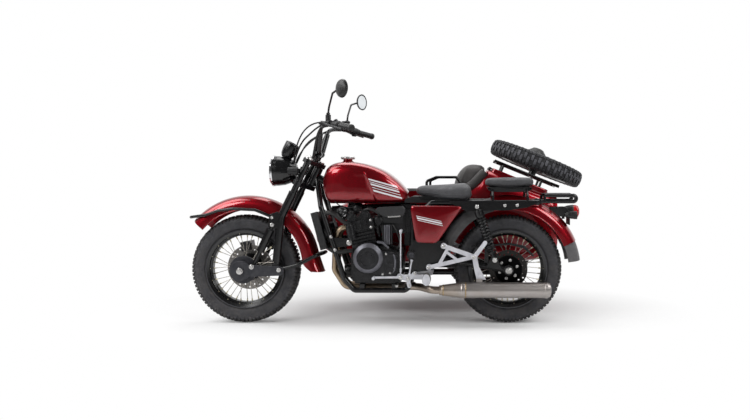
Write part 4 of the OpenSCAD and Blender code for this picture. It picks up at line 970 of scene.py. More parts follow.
def knobbly_tyre(wheel, middle, axle, body, finish):
    """A smooth carcass with staggered bars on the crown and lugs over both shoulders."""
    axle = Vector(axle).normalized()
    side = Vector(across).cross(axle)
    side = side.normalized() if side.length > 0.2 else Vector((1, 0, 0))
    up = axle.cross(side)
    heap = Heap()

    def spot(turn, radius, along):
        return middle + (side * math.cos(turn) * radius + up * math.sin(turn) * radius + axle * along) * MM

    wall = [(225.4, 37), (237, 38.6), (245, 41), (249, 45), (256, 49.5), (266, 53), (278, 54.6), (291, 54.4),
            (302, 52.2), (311, 48), (317, 42), (321, 33), (324, 22), (325.5, 11)]
    section = wall + [(radius, -along) for radius, along in reversed(wall)]
    rows = 160
    heap.add([spot(2 * math.pi * i / rows, r, v) for i in range(rows) for r, v in section],
             ring_faces(rows, len(section), closed_rows=True))

    def lug(shape, turn, length):
        r0 = sum(r for r, _ in shape) / len(shape)
        v0 = sum(v for _, v in shape) / len(shape)
        heap.add([spot(turn + share * length / 330, r0 + (r - r0) * tight, v0 + (v - v0) * tight)
                  for share, tight in ((-0.5, 0.88), (-0.41, 1.0), (0.41, 1.0), (0.5, 0.88)) for r,
                  v in shape],
                 ring_faces(4, len(shape)))

    bar = [(317, -8), (332.6, -7), (334, -5), (333.6, 9), (331.6, 26), (329.4, 29.5), (316, 30)]
    shoulder = [(313, 33), (327, 33), (328.6, 35), (325, 43.5)]
    long_lug = shoulder + [(318, 50), (305, 55.2), (298, 52.6)]
    short_lug = shoulder + [(319, 49.6), (312, 53), (306, 50)]
    count = 42
    pitch = 2 * math.pi / count
    for i in range(count):
        for hand in (-1, 1):
            turn = (i + 0.25 * hand) * pitch
            for shape, later, length in ((bar, 0, 17), (long_lug, 0, 18), (short_lug, 0.5, 17)):
                lug([(r, hand * v) for r, v in shape], turn + later * pitch, length)
    tyre = heap.made(wheel + "_tyre_tread", finish, body, smooth=34)
    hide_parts(wheel + "_tyre")


def spoke_nipples(wheel, middle, axle, body):
    """The brass nuts that draw the spokes to the rim, in the pattern of the spokes."""
    axle = Vector(axle).normalized()
    flat = wheel == "spare"
    along = lid_along if flat else Vector((1, 0, 0))
    up = Vector(across) if flat else Vector((0, 0, 1))
    out = axle if flat else -axle
    count = 36
    hub_reach, rim_reach, head_reach = 51, 205.2, 219
    heap = Heap()
    for i in range(count):
        hand = 1 if i % 2 == 0 else -1
        lean = 1 if i // 2 % 2 == 0 else -1
        a = math.radians(360 * i / count)
        b = a + math.radians(20 * lean)
        ray = along * math.cos(b) + up * math.sin(b)
        start = (along * math.cos(a) + up * math.sin(a)) * hub_reach + out * hand * (36 + 4 * lean)
        end = ray * rim_reach + out * hand * 9
        way = (end - start).normalized()
        heap.turned(middle + (end - way * 17) * MM, way, [(0, 2.6), (2, 3.6), (16, 4.2), (17, 4.2)], 8)
        heap.turned(middle + (ray * head_reach + out * hand * 28) * MM, out * hand,
                    [(0, 3.2), (2.4, 3.2), (3.2, 2.2)], 8)
    heap.made(wheel + "_spoke_nipples", nipple_brass, body)


for wheel, (middle, axle, _, _) in wheels.items():
    body = "lid" if wheel == "spare" else wheel + "_wheel"
    knobbly_tyre(wheel, Vector(middle), axle, body, nodes[wheel + "_tyre"].data.materials[0])
    spoke_nipples(wheel, Vector(middle), axle, body)


def bolt_ring(name, middle, side, radius, offset, first, size, body):
    """Six bolts round an axle, on one side of its wheel."""
    heap = Heap()
    for k in range(6):
        turn = math.radians(60 * k + first)
        heap.bolt(middle + Vector((radius * math.cos(turn), side * offset, radius * math.sin(turn))),
                  (0, side, 0), size)
    heap.made(name, bolt_silver, body)


bolt_ring("rear_carrier_bolts", rear_axle, -1, radius=0.056, offset=0.0643, first=18, size=7,
          body="rear_wheel")
bolt_ring("front_disc_bolts", front_axle, 1, radius=0.042, offset=0.0643, first=0, size=6,
          body="front_wheel")


# Sidecar tub

def carve(piece, tool, operation):
    """Join another form to a piece, or cut it out."""
    step = piece.modifiers.new("carve", "BOOLEAN")
    step.operation = operation
    step.solver = "EXACT"
    step.object = tool
    settle(piece)
    bpy.data.objects.remove(tool)


def prism(outline, low, high, turn=None):
    """A loose upright block over an outline in the plan, to carve with; turn lays it on the lid."""
    points = [(x, y, z) for z in (low, high) for x, y in outline]
    spots = [turn @ (Vector(p) * MM) if turn else at(*p) for p in points]
    return solid("cutter", spots, ring_faces(2, len(outline)), body_red, None)


def on_lid(x, y, z):
    """A point on the lid: along its slope from the hinge, across and off it."""
    return lid_hinge + lid_along * x * MM + Vector((0, y, 0)) * MM + Vector(lid_up) * z * MM


def box_line(x0, x1, half, radius, middle_y=0.0):
    """A rounded rectangle in the plan."""
    left, right = middle_y - half, middle_y + half
    return rounded([(x0, left), (x1, left), (x1, right), (x0, right)], radius, 8)


tub_squareness = 0.33
tub_wall = 14
tub_rows = [(-604, 496, 514, 0.06), (-600, 480, 530, 0.16), (-575, 440, 580, 0.38), (-500, 390, 650, 0.58),
            (-380, 345, 724, 0.78), (-220, 322, 782, 0.93), (-60, 320, 806, 1), (120, 320, 806, 1),
            (300, 320, 806, 1), (430, 320, 826, 1), (520, 320, 884, 1), (596, 320, 951, 1),
            (780, 328, 876.7, 0.99), (980, 350, 795.9, 0.97), (1036, 400, 773.2, 0.93),
            (1046, 420, 769.2, 0.92)]
lid_frame = Matrix((lid_along, across, lid_up)).transposed().to_4x4()
lid_frame.translation = lid_hinge


def tub_span(x):
    """Underside, top and half width share of the tub at a distance along it."""
    for a, b in zip(tub_rows, tub_rows[1:]):
        if a[0] <= x <= b[0]:
            t = (x - a[0]) / (b[0] - a[0])
            return [a[k] + (b[k] - a[k]) * t for k in (1, 2, 3)]
    return tub_rows[-1][1:]


def tub_hollow(x0, x1):
    """A loose form of the room inside the tub between two distances along it."""
    stations = [x0] + [row[0] for row in tub_rows if x0 + 5 < row[0] < x1 - 5] + [x1]
    return body_shell("hollow", [(x, *tub_span(x)) for x in stations], tub_middle, tub_half, 3, 56, body_red,
                      share=tub_squareness, trim=tub_wall)


gunwale_half = 254
gunwale = [(240, 770), (240, 806), (360, 807), (425, 815), (475, 838), (525, 884), (586, 938), (586, 700),
           (430, 700)]
tub = body_shell("tub_shell", tub_rows, tub_middle, tub_half, 5, 72, body_red, share=tub_squareness)
carve(tub, prism(box_line(-52, 424, gunwale_half, 60, tub_middle), 762, 806), "UNION")
carve(tub, solid("cutter", [at(x, tub_middle + y, z) for y in (-gunwale_half, gunwale_half) for x,
                            z in gunwale],
                 ring_faces(2, len(gunwale)), body_red, None), "UNION")
carve(tub, prism(box_line(16, 420, 222, 26), -60, -7.3, lid_frame), "UNION")
carve(tub, tub_hollow(-500, 571.8), "DIFFERENCE")
carve(tub, tub_hollow(586.2, 1026), "DIFFERENCE")
carve(tub, prism(box_line(-40, 571.5, 233, 50, tub_middle), 640, 1140), "DIFFERENCE")
carve(tub, prism(box_line(44, 392, 194, 24), -90, 30, lid_frame), "DIFFERENCE")

# The faces inside the tub are lined, the others are painted
inside = []
for face in tub.data.polygons:
    spot = (face.center - drawing_zero) * 1000
    low, high, part = tub_span(spot.x)
    off_y = abs((spot.y - tub_middle) / (tub_half * part))
    off_z = abs((2 * spot.z - low - high) / (high - low))
    inside.append(-520 < spot.x < 1030 and off_y ** 3.03 + off_z ** 3.03 < 0.92)
for name, keep, finish in (("tub_body", False, body_red), ("tub_lining", True, lining)):
    used = {}
    faces = []
    for face, within in zip(tub.data.polygons, inside):
        if within == keep:
            faces.append([used.setdefault(v, len(used)) for v in face.vertices])
    skin = bpy.data.meshes.new(name)
    skin.from_pydata([tub.data.vertices[v].co for v in used], [], faces)
    skin.shade_smooth()
    skin.set_sharp_from_angle(angle=math.radians(32))
    skin.materials.append(finish)
    holder = bpy.data.objects.new(name, skin)
    bpy.context.scene.collection.objects.link(holder)
    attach(holder, "root")
    if not keep:
        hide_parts("tub")
bpy.data.objects.remove(tub)

coaming = [(562, -241, 916), (525, -241, 884), (475, -242, 838), (425, -242, 814), (340, -242, 806),
           (200, -241, 804), (60, -240, 804), (-8, -234, 804), (-32, -214, 804), (-43, -180, 804),
           (-44, -90, 804), (-44, 0, 804)]
coaming += [(x, -y, z) for x, y, z in coaming[-2::-1]]
tube("coaming_roll", [at(x, tub_middle + y, z) for x, y, z in eased(coaming, 5)], 0.012, lining, "root",
     sides=14)
wing = eased([(566, 934), (528, 896), (480, 848), (440, 823), (396, 811)], 6)
for hand, label in hands:
    pad = tube("coaming_pad_" + label, [at(x, tub_middle + hand * 236, z) for x, z in wing], 0.032,
               sidecar_hide,
               "root", sides=18)


# Boot lid and side covers

clamp_arms = []
for k in range(3):
    turn = math.radians(120 * k + 30)
    out = lid_along * math.cos(turn) + Vector((0, math.sin(turn), 0))
    clamp_arms.append((spare_middle + Vector(lid_up) * 0.052 + out * 0.03, out,
                       [(0, 14), (80, 12), (150, 10), (156, 6)], 14))
turned_piece("spare_wheel_clamp", hose_black, "lid", "black_paint",
             (spare_middle - lid_along * 0.02, lid_up,
              [(30, 60), (52, 70), (60, 70), (76, 62), (92, 44), (100, 36), (104, 20)], 36), *clamp_arms)

hinge_stands = Heap()
stand_outline = [(-7, -50), (7, -50), (7, 0), (4, 5), (-4, 5), (-7, 0)]
for y in hinge_places:
    hinge_stands.turned(on_lid(0, y - 35, 0), across, [(0, 4), (70, 4)])
    for e in (-30, 30):
        hinge_stands.add([on_lid(x, y + e + w, z) for w in (-5, 5) for x, z in stand_outline],
                         ring_faces(2, len(stand_outline)))
hinge_stands.made("lid_hinge_stands", frame_black, "root")

lid = Heap()
lid_half = 216
lid_outline = box_line(14, 418, lid_half, 34)
lid_rings = ((-7, 4), (-4, 0), (2, 0), (5.4, 2.2), (7, 6))
lid.add([on_lid(x + (lid_half - x) * inset / lid_half, y * (1 - inset / lid_half), z)
         for z, inset in lid_rings for x, y in lid_outline], ring_faces(len(lid_rings), len(lid_outline)))
leaf = ((2, -4), (26, -4), (26, 4), (2, 6))
for y in hinge_places:
    lid.turned(on_lid(0, y - 24, 0), across, [(0, 4.1), (0, 8), (48, 8), (48, 4.1)], 24, True)
    lid.add([on_lid(x, y + w, z) for w in (-24, 24) for x, z in leaf], ring_faces(2, len(leaf)))
lid_cover = lid.made("boot_cover", body_red, "lid", smooth=35)
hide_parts("boot_lid")

covers = Heap()
cover_outline = rounded([(104, 700), (110, 728), (400, 726), (414, 716), (262, 500), (136, 506)], 26, 7)
cover_x, cover_z = 232, 640
cover_rings = ((0, 0.985), (0, 1.0), (5, 1.0), (9, 0.988), (12.5, 0.955), (15.5, 0.89), (18, 0.78),
               (20, 0.6),
               (21, 0.38), (21.4, 0.12))
for hand, _ in hands:
    covers.add([at(cover_x + (x - cover_x) * share, hand * (150 + lift), cover_z + (z - cover_z) * share)
                for lift, share in cover_rings for x, z in cover_outline],
               ring_faces(len(cover_rings), len(cover_outline)))
    for share in (0.27, 0.6):
        covers.turned(at(118 + 306 * share, hand * (122.8 + 20 * share), 470 + 272 * share), (0, hand, 0),
                      [(0, 8), (29 - 20 * share, 8)])
side_panels = covers.made("side_panels", cover_red, "root", smooth=30)
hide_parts("side_covers")


# Hoses and engine

def hose(name, line, radius, body="root"):
    """A hose fixed at both ends, through points of the drawing."""
    tube(name, [at(*row) for row in eased(line, 6)], radius * MM, hose_black, body, sides=14)


hose("coolant_hose_upper", [(-436, -92, 668), (-404, -118, 684), (-360, -126, 676), (-318, -120, 640),
                            (-272, -128, 612), (-248, -146, 600)], 14)
hose("coolant_hose_lower", [(-408, -84, 478), (-372, -104, 452), (-330, -112, 444), (-286, -104, 450),
                            (-250, -98, 452)], 13)
hose("breather_hose", [(-196, -96, 690), (-150, -112, 706), (-112, -112, 694), (-84, -100, 668)], 11)
hose("throttle_cable", [(-430, -40, 890), (-396, -70, 800), (-330, -112, 728), (-240, -112, 712),
                        (-150, -118, 690)], 3.2)
hose("loom", [(-424, -34, 856), (-398, -92, 744), (-366, -124, 660), (-346, -126, 600)], 8)
hose("starter_cable", [(-6, -128, 610), (24, -132, 560), (38, -128, 500), (20, -136, 470)], 5)

fan_spot, fan_way = at(-432, 0, 576), (0.963, 0, 0.27)
turned_piece("radiator_fan", engine_black, "root", "black_plastic",
             (fan_spot, fan_way, [(0, 90), (20, 90), (28, 86), (40, 84)], 48),
             (fan_spot, fan_way, [(30, 34), (54, 34), (60, 28)], 28))
turned_piece("starter_filter_and_coils", engine_black, "root", "dark_grey",
             (at(-62, -66, 512), across, [(0, 24), (4, 36), (96, 37), (128, 34), (132, 20)], 36),
             (at(-236, 0, 330), (-0.97, 0, -0.2), [(0, 40), (8, 42), (66, 42), (74, 38), (76, 20)], 36),
             (at(-402, 26, 690), (1, 0, 0.06), [(0, 16), (4, 29), (70, 29), (76, 22), (92, 20)], 28),
             (at(-300, 24, 714), (1, 0, 0.02), [(0, 14), (6, 22), (80, 22), (92, 14), (380, 14)], 24))
plate_piece("saddle_pan", switch_plastic, "black_plastic",
            ([(62, 742), (64, 764), (110, 782), (200, 780), (452, 776), (476, 744)], 10, -92, 92))

engine_plates = [
    ([(36, 734), (126, 734), (126, 480), (60, 480), (62, 600), (36, 660)], 8, 58, 70),
    ([(-384, 532), (-272, 528), (-246, 514), (-248, 490), (-272, 480), (-366, 470)], 12, 104, 112),
    ([(-250, 676), (-206, 690), (-196, 712), (-226, 728), (-256, 722)], 8, 84, 92),
    ([(-84, 592), (-120, 586), (-128, 640), (-118, 664), (-84, 664)], 10, 40, 108),
    ([(66, 700), (122, 706), (124, 560), (66, 566)], 8, 86, 98),
    ([(-338, 700), (-300, 700), (-304, 630), (-336, 628)], 8, 84, 94)]
brackets = plate_piece("engine_brackets", engine_black, "black_paint",
                       *[(corners, rounding, hand * near, hand * far)
                         for corners, rounding, near, far in engine_plates for hand, _ in hands])
plate_piece("airbox_lid", guard_dark, "dark_grey",
            ([(-114, 700), (-92, 718), (58, 724), (72, 704), (62, 666), (20, 656), (-64, 660)], 8, -104,
             -124, 3))
plate_piece("regulator_fins", case_grey, "dark_grey",
            *[([(x, 612), (x + 8, 612), (x + 8, 494), (x, 494)], 3, -146, -151, 1) for x in (-54, -41, -28)])
plate_piece("airbox_strip", bolt_silver, "cast_silver",
            ([(-34, 663), (42, 667), (42, 659), (-34, 655)], 2, -122, -127, 0.6))

cover_spot_x, cover_spot_z = -147, 415
cover_bevel_and_highlight = Heap()
cover_bevel_and_highlight.turned(at(cover_spot_x, -170, cover_spot_z), (0, -1, 0),
             [(0, 91), (9, 90), (13, 87), (24, 73), (28, 66), (28.6, 61), (26, 58), (20, 56)], 72)
# Painted highlight: this light grey crescent along the right edge of the second engine cover stands in for a
# highlight line.
cover_bevel_and_highlight.slab(rounded([(2, 440), (14, 430), (21, 392), (14, 340), (-2, 322), (6, 344), (11, 392), (6, 424)], 3),
           -172, -180, 1.5)
cover_bevel_and_highlight.slab(rounded([(-96, 506), (-62, 502), (-26, 470), (-20, 476), (-58, 514), (-94, 518)], 4), -150, -176,
           2)
cover_bevel_and_highlight.made("engine_cover_bevel_and_highlight_strip", case_grey, "root")

turned_piece("brake_link", peg_silver, "root", "cast_silver",
             (at(112, -146, 402), (-0.14, -0.2, -0.9), [(0, 8), (8, 8), (12, 5), (82, 5), (86, 9), (96, 9)],
              16))
turned_piece("throttle_bodies", engine_black, "root", "dark_grey",
             (at(-92, -70, 632), (0, -1, 0), [(0, 30), (34, 30), (40, 26), (58, 26), (62, 20), (66, 20)],
              28),
             (at(-100, -104, 606), (0.2, 0, -1), [(0, 14), (52, 14), (56, 10), (70, 10)], 20),
             (at(-268, -122, 640), (0.3, -0.1, 1), [(0, 20), (18, 23), (46, 23), (52, 17), (62, 17)], 24),
             (at(-228, -150, 700), (0.25, -0.05, 1), [(0, 11), (16, 13), (24, 9), (30, 9)], 18))
turned_piece("horn_face", lamp_black, "root", "black_paint",
             (at(-312, -116, 688), (0, -1, 0),
              [(0, 32), (3, 33), (6, 31), (4, 27), (3, 24), (6, 18), (8, 15), (5, 9), (7, 5)], 36))

lamp_bracket = Heap()
bracket_outline = rounded([(948, 712), (1052, 716), (1074, 690), (1040, 652), (986, 664)], 8)
for y in (-46, 38):
    lamp_bracket.slab(bracket_outline, y, y + 8)
lamp_bracket.turned(at(1010, -44, 690), across, [(0, 10), (88, 10)], 16)
lamp_bracket.made("tail_lamp_bracket", switch_plastic, "root")

turned_piece("muffler_weld", weld_gold, "root", "steel",
             (at(434, -190, 226), (1, 0, 0), [(0, 46.1), (1.5, 47.4), (4, 47.4), (5.5, 46.1)], 48),
             (at(300, -190, 226), (1, 0, 0), [(0, 32.2), (1.5, 33.4), (3.5, 33.4), (5, 33)], 48))
# Partly painted shade: this black base under the pillion pad also stands in for the shade below the pad.
plate_piece("pillion_base_and_shade", switch_plastic, "black_plastic",
            ([(566, 838), (842, 838), (830, 816), (780, 808), (620, 808), (576, 816)], 8, -92, 92))


# Rear shock absorbers and fasteners

def shock_dress(hand, label):
    """The spring and the collars round a rear shock absorber."""
    top, foot = at(504, hand * 158, 722), at(610, hand * 158, 403)
    way = (foot - top).normalized()
    side = Vector(across)
    up = way.cross(side)
    steps = 22
    last = 9 * steps
    coil = []
    for k in range(last + 1):
        turn = 2 * math.pi * k / steps
        out = side * math.cos(turn) + up * math.sin(turn)
        coil.append(top.lerp(foot, 0.26 + 0.50 * k / last) + out * 0.0255)
    tube("shock_spring_" + label, coil, 0.0048, lamp_black, "root", sides=10)
    seat = [(-7, 24), (-5, 32), (4, 32), (6, 27)]
    turned_piece("shock_collars_" + label, fork_black, "root", "black_paint",
                 (top.lerp(foot, 0.245), way, seat, 28), (top.lerp(foot, 0.765), way, seat, 28),
                 (top.lerp(foot, 0.06), way, [(0, 17), (4, 21), (46, 22), (52, 18)], 24))


for hand, label in hands:
    shock_dress(hand, label)

rail_corners = [(330, 756), (868, 756), (874, 742), (800, 716), (700, 700), (446, 694), (384, 716)]
rail_plates = plate_piece("seat_rail_plates", frame_black, "black_paint",
                          *[(rail_corners, 10, hand * 138, hand * 150) for hand, _ in hands])


def outer_spot(piece, x, z, hand):
    """Where a line from one side first meets a piece: whether it does, and the place."""
    return piece.ray_cast(at(x, hand * 320, z), (0, -hand, 0))[:2]


# Bolts: what they sit on, x, height, size, and one side or both
root_bolts = [
    (nodes["rear_shocks"], 504, 722, 9, 2), (nodes["rear_shocks"], 610, 403, 11, 2),
    (brackets, -270, 503, 13, 1),
    (nodes["foot_brackets"], 304, 486, 8, 2), (nodes["foot_brackets"], 216, 358, 8, 2),
    (nodes["foot_brackets"], 486, 422, 9, 2), (nodes["swingarm"], 697, 334, 15, 2),
    (rail_plates, 672, 728, 7, 2),
    (rail_plates, 746, 730, 7, 2), (nodes["footrests"], 132, 322, 7, 1), (nodes["footrests"], 92, 290, 9, 2),
    (nodes["footrests"], 50, 302, 8, 1), (nodes["footrests"], 98, 250, 6, 1),
    (nodes["frame"], -206, 240, 7, 2),
    (nodes["frame"], 18, 240, 7, 2), (brackets, -321, 643, 10, 1), (nodes["frame"], -379, 538, 7, 2),
    (nodes["frame"], -354, 459, 7, 2), (nodes["cylinders"], -133, 599, 6, 1),
    (nodes["cylinders"], -137, 640, 5, 1),
    (nodes["engine_covers"], -61, 318, 5, 1), (nodes["engine_covers"], -16, 326, 5, 1),
    (nodes["engine_covers"], 8, 356, 4, 1), (nodes["engine_covers"], -40, 440, 5, 1)]
front_bolts = [
    (nodes["front_links"], -923, 334, 15, 2), (nodes["front_links"], -855, 358, 11, 2),
    (nodes["fork"], -689, 340, 10, 2), (nodes["fork"], -735, 611, 9, 2), (nodes["fork"], -735, 655, 7, 2)]
for name, rows, body in (("frame_bolts", root_bolts, "root"), ("fork_bolts", front_bolts, "steering")):
    heap = Heap()
    for seat, x, z, size, sides in rows:
        for hand in (-1, 1)[:sides]:
            hit, spot = outer_spot(seat, x, z, hand)
            if hit:
                heap.bolt(spot, (0, hand, 0), size)
    heap.made(name, bolt_silver, body)

screws = Heap()
for hand, _ in hands:
    _, spot = outer_spot(nodes["frame"], 109, 429, hand)
    screws.bolt(spot, (0, hand, 0), 13)
for k in range(6):
    turn = math.radians(60 * k + 20)
    screws.bolt(at(cover_spot_x + 46 * math.cos(turn), -190, cover_spot_z + 46 * math.sin(turn)),
                (0, -1, 0), 4)
screws.made("cover_screws", link_grey, "root")

rubbers = Heap()
rubber_rings = [(188 + 5.2 * k, 1.5 if k % 2 else 0.6) for k in range(15)]
rubber_turns = [2 * math.pi * j / 32 for j in range(32)]
for hand, _ in hands:
    rubbers.add([at(205 + (23 + grow) * math.cos(a), hand * y, 296 + (34 + grow) * math.sin(a))
                 for y, grow in rubber_rings for a in rubber_turns],
                ring_faces(len(rubber_rings), len(rubber_turns)))
rubbers.made("footrest_rubbers", rubber_grey, "root", smooth=25)


# Front lamp and instrument

lamp_middle = at(-746, 0, 937)
turned_piece("headlight_bowl", chrome, "steering", "bright",
             (lamp_middle, (1, 0, 0), [(-1, 81), (2, 81.5), (14, 74), (30, 60), (42, 44), (50, 26), (53, 15),
                                       (46, 15), (28, 43), (-1, 80)], 64, True))
turned_piece("headlight_bulb", bolt_silver, "steering", "bright",
             (lamp_middle, (1, 0, 0), [(8, 3), (10, 9), (20, 12), (46, 12), (52, 14)], 24))

dial_tilt = Vector((math.sin(math.radians(dial_slope)), 0, math.cos(math.radians(dial_slope))))
turned_piece("dial_face", dial_print, "steering", "black_plastic",
             (dial_middle + dial_tilt * 0.039, dial_tilt, [(0, 28.8), (1.5, 28.8), (2.2, 27)], 48))
turned_piece("dial_bezel", lamp_black, "steering", "black_plastic",
             (dial_middle + dial_tilt * 0.040, dial_tilt,
              [(0, 35.2), (3, 35.6), (5, 34.5), (5.6, 31), (3.5, 29.4), (0, 29)], 48, True))


# Handlebar, grips and fork

def bar_end(hand):
    """Where a handlebar's outer run starts, and which way it goes."""
    way = Vector((0.187, 0.234, -0.047)).normalized()
    return at(-392, hand * 208, 1223), Vector((way.x, hand * way.y, way.z))


for hand, label in hands:
    start, way = bar_end(hand)
    profile = [(0, 18.2), (2, 22), (6, 22), (8, 18)]
    for k in range(22):
        profile += [(10 + 5 * k, 18.3), (11.5 + 5 * k, 19.0), (13.5 + 5 * k, 19.0)]
    profile += [(122, 18.2), (126, 21), (134, 21), (139, 19), (141, 12)]
    turned_piece("grip_" + label, hose_black, "steering", "black_plastic",
                 (start + way * 0.1712, way, profile, 28),
                 smooth=25)

rake = joints["steering"]["axis"]
fore = Vector((-rake[2], 0, rake[0]))
yoke_top = at(-500, 0, 905) + Vector(rake) * 0.087
leg_caps = []
for hand, _ in hands:
    leg_top = yoke_top + fore * 0.060 + Vector((0, hand * 0.105, 0))
    leg_caps += [(leg_top, rake, [(-2, 24), (4, 24), (7, 21), (12, 20), (14, 17)], 32),
                 (leg_top, rake, [(12, 10), (22, 10), (24, 8)], 6)]
turned_piece("fork_caps", bolt_silver, "steering", "cast_silver", *leg_caps,
             (yoke_top, rake, [(-2, 22), (8, 22), (10, 19)], 6))

clamps = Heap()
for hand, _ in hands:
    spot = at(-470, hand * 38, 1040)
    clamps.turned(spot - Vector((0, 0.013, 0)), across, [(0, 19), (2, 21.5), (24, 21.5), (26, 19)], 28)
    for step in (-15, 15):
        clamps.bolt(spot + Vector((step, 0, 15)) * MM, (0.25, 0, 1), 4.5)
clamps.made("bar_clamps", fork_black, "steering")

leg_line = [(-612, 809), (-616, 800), (-676, 675), (-686, 651), (-689, 625), (-712, 396), (-713, 386)]
riser_shares = (0.10, 0.13, 0.5, 0.80, 0.83)
mirror_turn = {"left": 46, "right": 28}
for hand, label in hands:
    tube("fork_sleeve_" + label, [at(x, hand * 105, z) for x, z in leg_line], 0.0245, fork_black, "steering",
         sides=28)
    tube("riser_sleeve_" + label, [at(-470 + 30 * t, hand * (56 + 64 * t),
                                      1040 + 155 * t) for t in riser_shares],
         0.0165, fork_black, "steering", sides=20)
    turn = math.radians(mirror_turn[label])
    turned_piece("mirror_back_" + label, hose_black, "steering", "black_plastic",
                 (at(-269, hand * 395, 1404), (-math.cos(turn), hand * math.sin(turn), 0),
                  [(0, 51.6), (2, 51.2), (6, 48), (9.5, 42.6), (12.5, 35.4), (15, 26), (16.7, 15),
                   (17.4, 4)], 64))
turned_piece("instrument_cowl", fork_black, "steering", "black_plastic",
             (dial_middle, dial_tilt, [(-58, 22), (-54, 30), (-36, 40), (-10, 45), (24, 47), (40, 47),
                                       (43, 45),
                                       (43, 38), (38, 36)], 56))
turned_piece("ignition_lock", guard_grey, "steering", "black_plastic",
             (at(-514, 0, 990), (0.42, 0, 0.9), [(0, 22), (34, 22), (40, 19), (46, 19), (47, 12)], 28))

for hand, label in hands:
    hose("clutch_cable_" + label, [(-624, hand * 34, 985), (-590, hand * 58, 1070), (-556, hand * 80, 1122),
                                   (-512, hand * 112, 1158), (-470, hand * 150, 1186),
                                   (-420, hand * 196, 1212)],
         5.2, "steering")
    hose("switch_loom_" + label, [(-500, hand * 62, 1010), (-488, hand * 76, 1060), (-462, hand * 112, 1150),
                                  (-430, hand * 152, 1196), (-380, hand * 222, 1204)], 8.5, "steering")
    start, way = bar_end(hand)
    turned_piece("switch_box_" + label, switch_plastic, "steering", "black_plastic",
                 (start + way * 0.112, way, [(0, 20), (3, 25), (40, 26), (52, 24), (54, 19)], 24),
                 (start + way * 0.132 + Vector((-0.004, 0, 0.016)), (-0.5, 0, 0.85),
                  [(0, 15), (12, 14), (15, 10)], 18),
                 (start + way * 0.132 + Vector((0.004, 0, -0.034)), (0.1, 0, 1),
                  [(0, 13), (6, 17), (30, 17)], 18),
                 (start + way * 0.046 + Vector((-0.020, 0, -0.004)), (-0.9, 0.1 * hand, 0.12),
                  [(0, 15), (18, 14), (34, 9), (44, 8)], 18),
                 (start + way * 0.030, way, [(0, 19), (2, 21), (26, 21), (28, 19)], 24))
turned_piece("brake_reservoir", switch_plastic, "steering", "black_plastic",
             (at(-352, 262, 1222), (0, 0, 1), [(0, 20), (4, 25), (34, 26), (36, 28), (42, 28), (44, 25)],
              32))

turned_piece("filler_neck", body_red, "root", "red_paint",
             (at(-296, 0, 985), (0, 0, 1), [(0, 46), (9, 38), (14, 31), (18, 28), (29, 27)], 48))
filler_cap = turned_piece("filler_cap", bolt_silver, "root", "bright",
                          (at(-296, 0, 1012), (0, 0, 1), [(-4, 30), (-2, 41), (1, 44.5), (10, 45),
                                                          (13, 42.5),
                                                          (14.2, 34), (14.5, 12)], 64))
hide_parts("tank_cap")


# Studio

scene = bpy.context.scene
scene.view_settings.view_transform = "Standard"


def floor_white():
    """A pale floor that fades to plain white away from the machine, for the camera and in mirrors."""
    material, tree, shader = finish_for("floor_white", Specular_IOR_Level=0.0)
    spot = parts_of(tree)
    path = put(tree, "ShaderNodeLightPath").outputs
    patch = patches(tree, 0.6)
    feed(tree, shader, Roughness=patches(tree, 3.0, 0.85, 0.95),
         Base_Color=tint(tree, path["Is Diffuse Ray"], tint(tree, patch, (0.80, 0.80, 0.80),
                                                            (0.82, 0.82, 0.82)),
                         tint(tree, patch, (0.50, 0.50, 0.50), (0.53, 0.53, 0.53))))
    oval = put(tree, "ShaderNodeCombineXYZ", {"X": sums(tree, "DIVIDE", spot["X"], 2.0),
               "Y": sums(tree, "DIVIDE", spot["Y"], 1.35)}).outputs["Vector"]
    away = put(tree, "ShaderNodeVectorMath", {"Vector": oval}, operation="LENGTH").outputs["Value"]
    mirrored = times(tree, sums(tree, "MAXIMUM", path["Is Glossy Ray"], path["Is Transmission Ray"]),
                     spread(tree, spot["Y"], 0.6, 2.0))
    seen = times(tree, path["Is Camera Ray"], spread(tree, away, 0.45, 1.0, 0.05, 1.0))
    mixed = put(tree, "ShaderNodeMixShader", {"Fac": sums(tree, "MAXIMUM", mirrored, seen)})
    white = put(tree, "ShaderNodeEmission", {"Color": (1, 1, 1, 1), "Strength": 1.0})
    tree.links.new(shader.outputs[0], mixed.inputs[1])
    tree.links.new(white.outputs[0], mixed.inputs[2])
    tree.links.new(mixed.outputs[0], tree.nodes["Material Output"].inputs["Surface"])
    return material


def lay_floor(half):
    mesh = bpy.data.meshes.new("floor")
    mesh.from_pydata([(-half, -half, 0), (half, -half, 0), (half, half, 0), (-half, half, 0)], [],
                     [(0, 1, 2, 3)])
    mesh.materials.append(floor_white())
    floor = bpy.data.objects.new("floor", mesh)
    scene.collection.objects.link(floor)


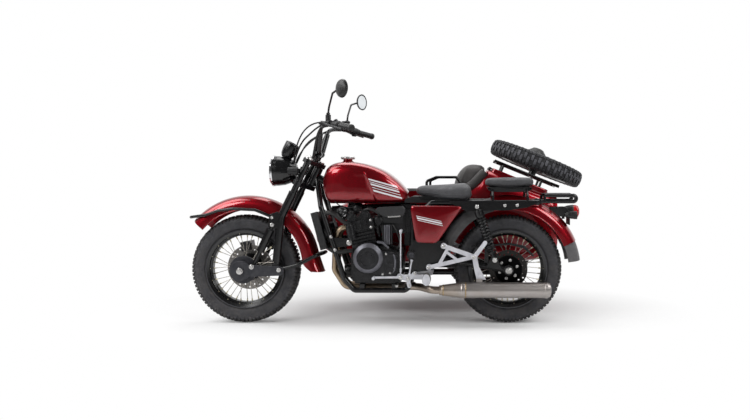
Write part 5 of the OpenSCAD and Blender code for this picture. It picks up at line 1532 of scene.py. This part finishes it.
def light_room():
    """A white room behind the machine for the camera and for mirrors, dim on the camera's side."""
    scene.world = bpy.data.worlds.new("studio")
    scene.world.use_nodes = True
    tree = scene.world.node_tree
    tree.nodes.clear()
    path = put(tree, "ShaderNodeLightPath").outputs
    behind = parts_of(tree, put(tree, "ShaderNodeTexCoord").outputs["Generated"])["Y"]
    mirrored = sums(tree, "MAXIMUM", path["Is Glossy Ray"], path["Is Transmission Ray"])
    level = sums(tree, "MAXIMUM", path["Is Camera Ray"], times(tree, mirrored,
                                                               spread(tree, behind, 0.0, 0.3, 0.07, 1.0)))
    level = sums(tree, "MAXIMUM", level, times(tree, rest_of(tree, mirrored), 0.27))
    tree.links.new(put(tree, "ShaderNodeBackground", {"Color": (1, 1, 1, 1), "Strength": level}).outputs[0],
                   put(tree, "ShaderNodeOutputWorld").inputs["Surface"])


def hang_softbox(name, spot, aim, size, power):
    light = bpy.data.lights.new(name, "AREA")
    light.shape = "RECTANGLE"
    light.size, light.size_y = size
    light.energy = power
    holder = bpy.data.objects.new(name, light)
    holder.location = spot
    holder.rotation_euler = (Vector(aim) - Vector(spot)).to_track_quat("-Z", "Y").to_euler()
    scene.collection.objects.link(holder)


def set_camera():
    """A level camera where the photograph was taken, shifted so that its vanishing point falls in place."""
    photo_width, photo_height = 750, 420
    vanish_x, vanish_y = 466, 176
    focus = 723.6
    lens = bpy.data.cameras.new("photograph_view")
    lens.sensor_width = 36.0
    lens.lens = lens.sensor_width * focus / photo_width
    lens.shift_x = (photo_width / 2 - vanish_x) / photo_width
    lens.shift_y = -(photo_height / 2 - vanish_y) / photo_width
    lens.clip_end = 200
    viewer = bpy.data.objects.new("photograph_view", lens)
    viewer.location = (0.450, -4.858, 0.906)
    viewer.rotation_euler = (math.radians(90), 0, 0)
    scene.collection.objects.link(viewer)
    scene.camera = viewer


lay_floor(60)
light_room()
hang_softbox("softbox_above", (0.2, 0.5, 3.2), (0.1, -0.1, 0.4), (3.0, 1.4), 40)
hang_softbox("softbox_left", (-2.8, -1.0, 3.1), (-0.8, -0.2, 0.6), (2.0, 2.4), 80)
hang_softbox("softbox_right", (2.9, -0.9, 3.1), (0.8, -0.2, 0.6), (1.8, 2.2), 60)
hang_softbox("softbox_front", (-2.8, -3.2, 2.6), (-0.7, -0.4, 0.6), (1.4, 1.5), 62)
hang_softbox("softbox_rear", (2.7, -3.3, 2.3), (0.7, -0.4, 0.6), (1.2, 1.4), 48)
set_camera()
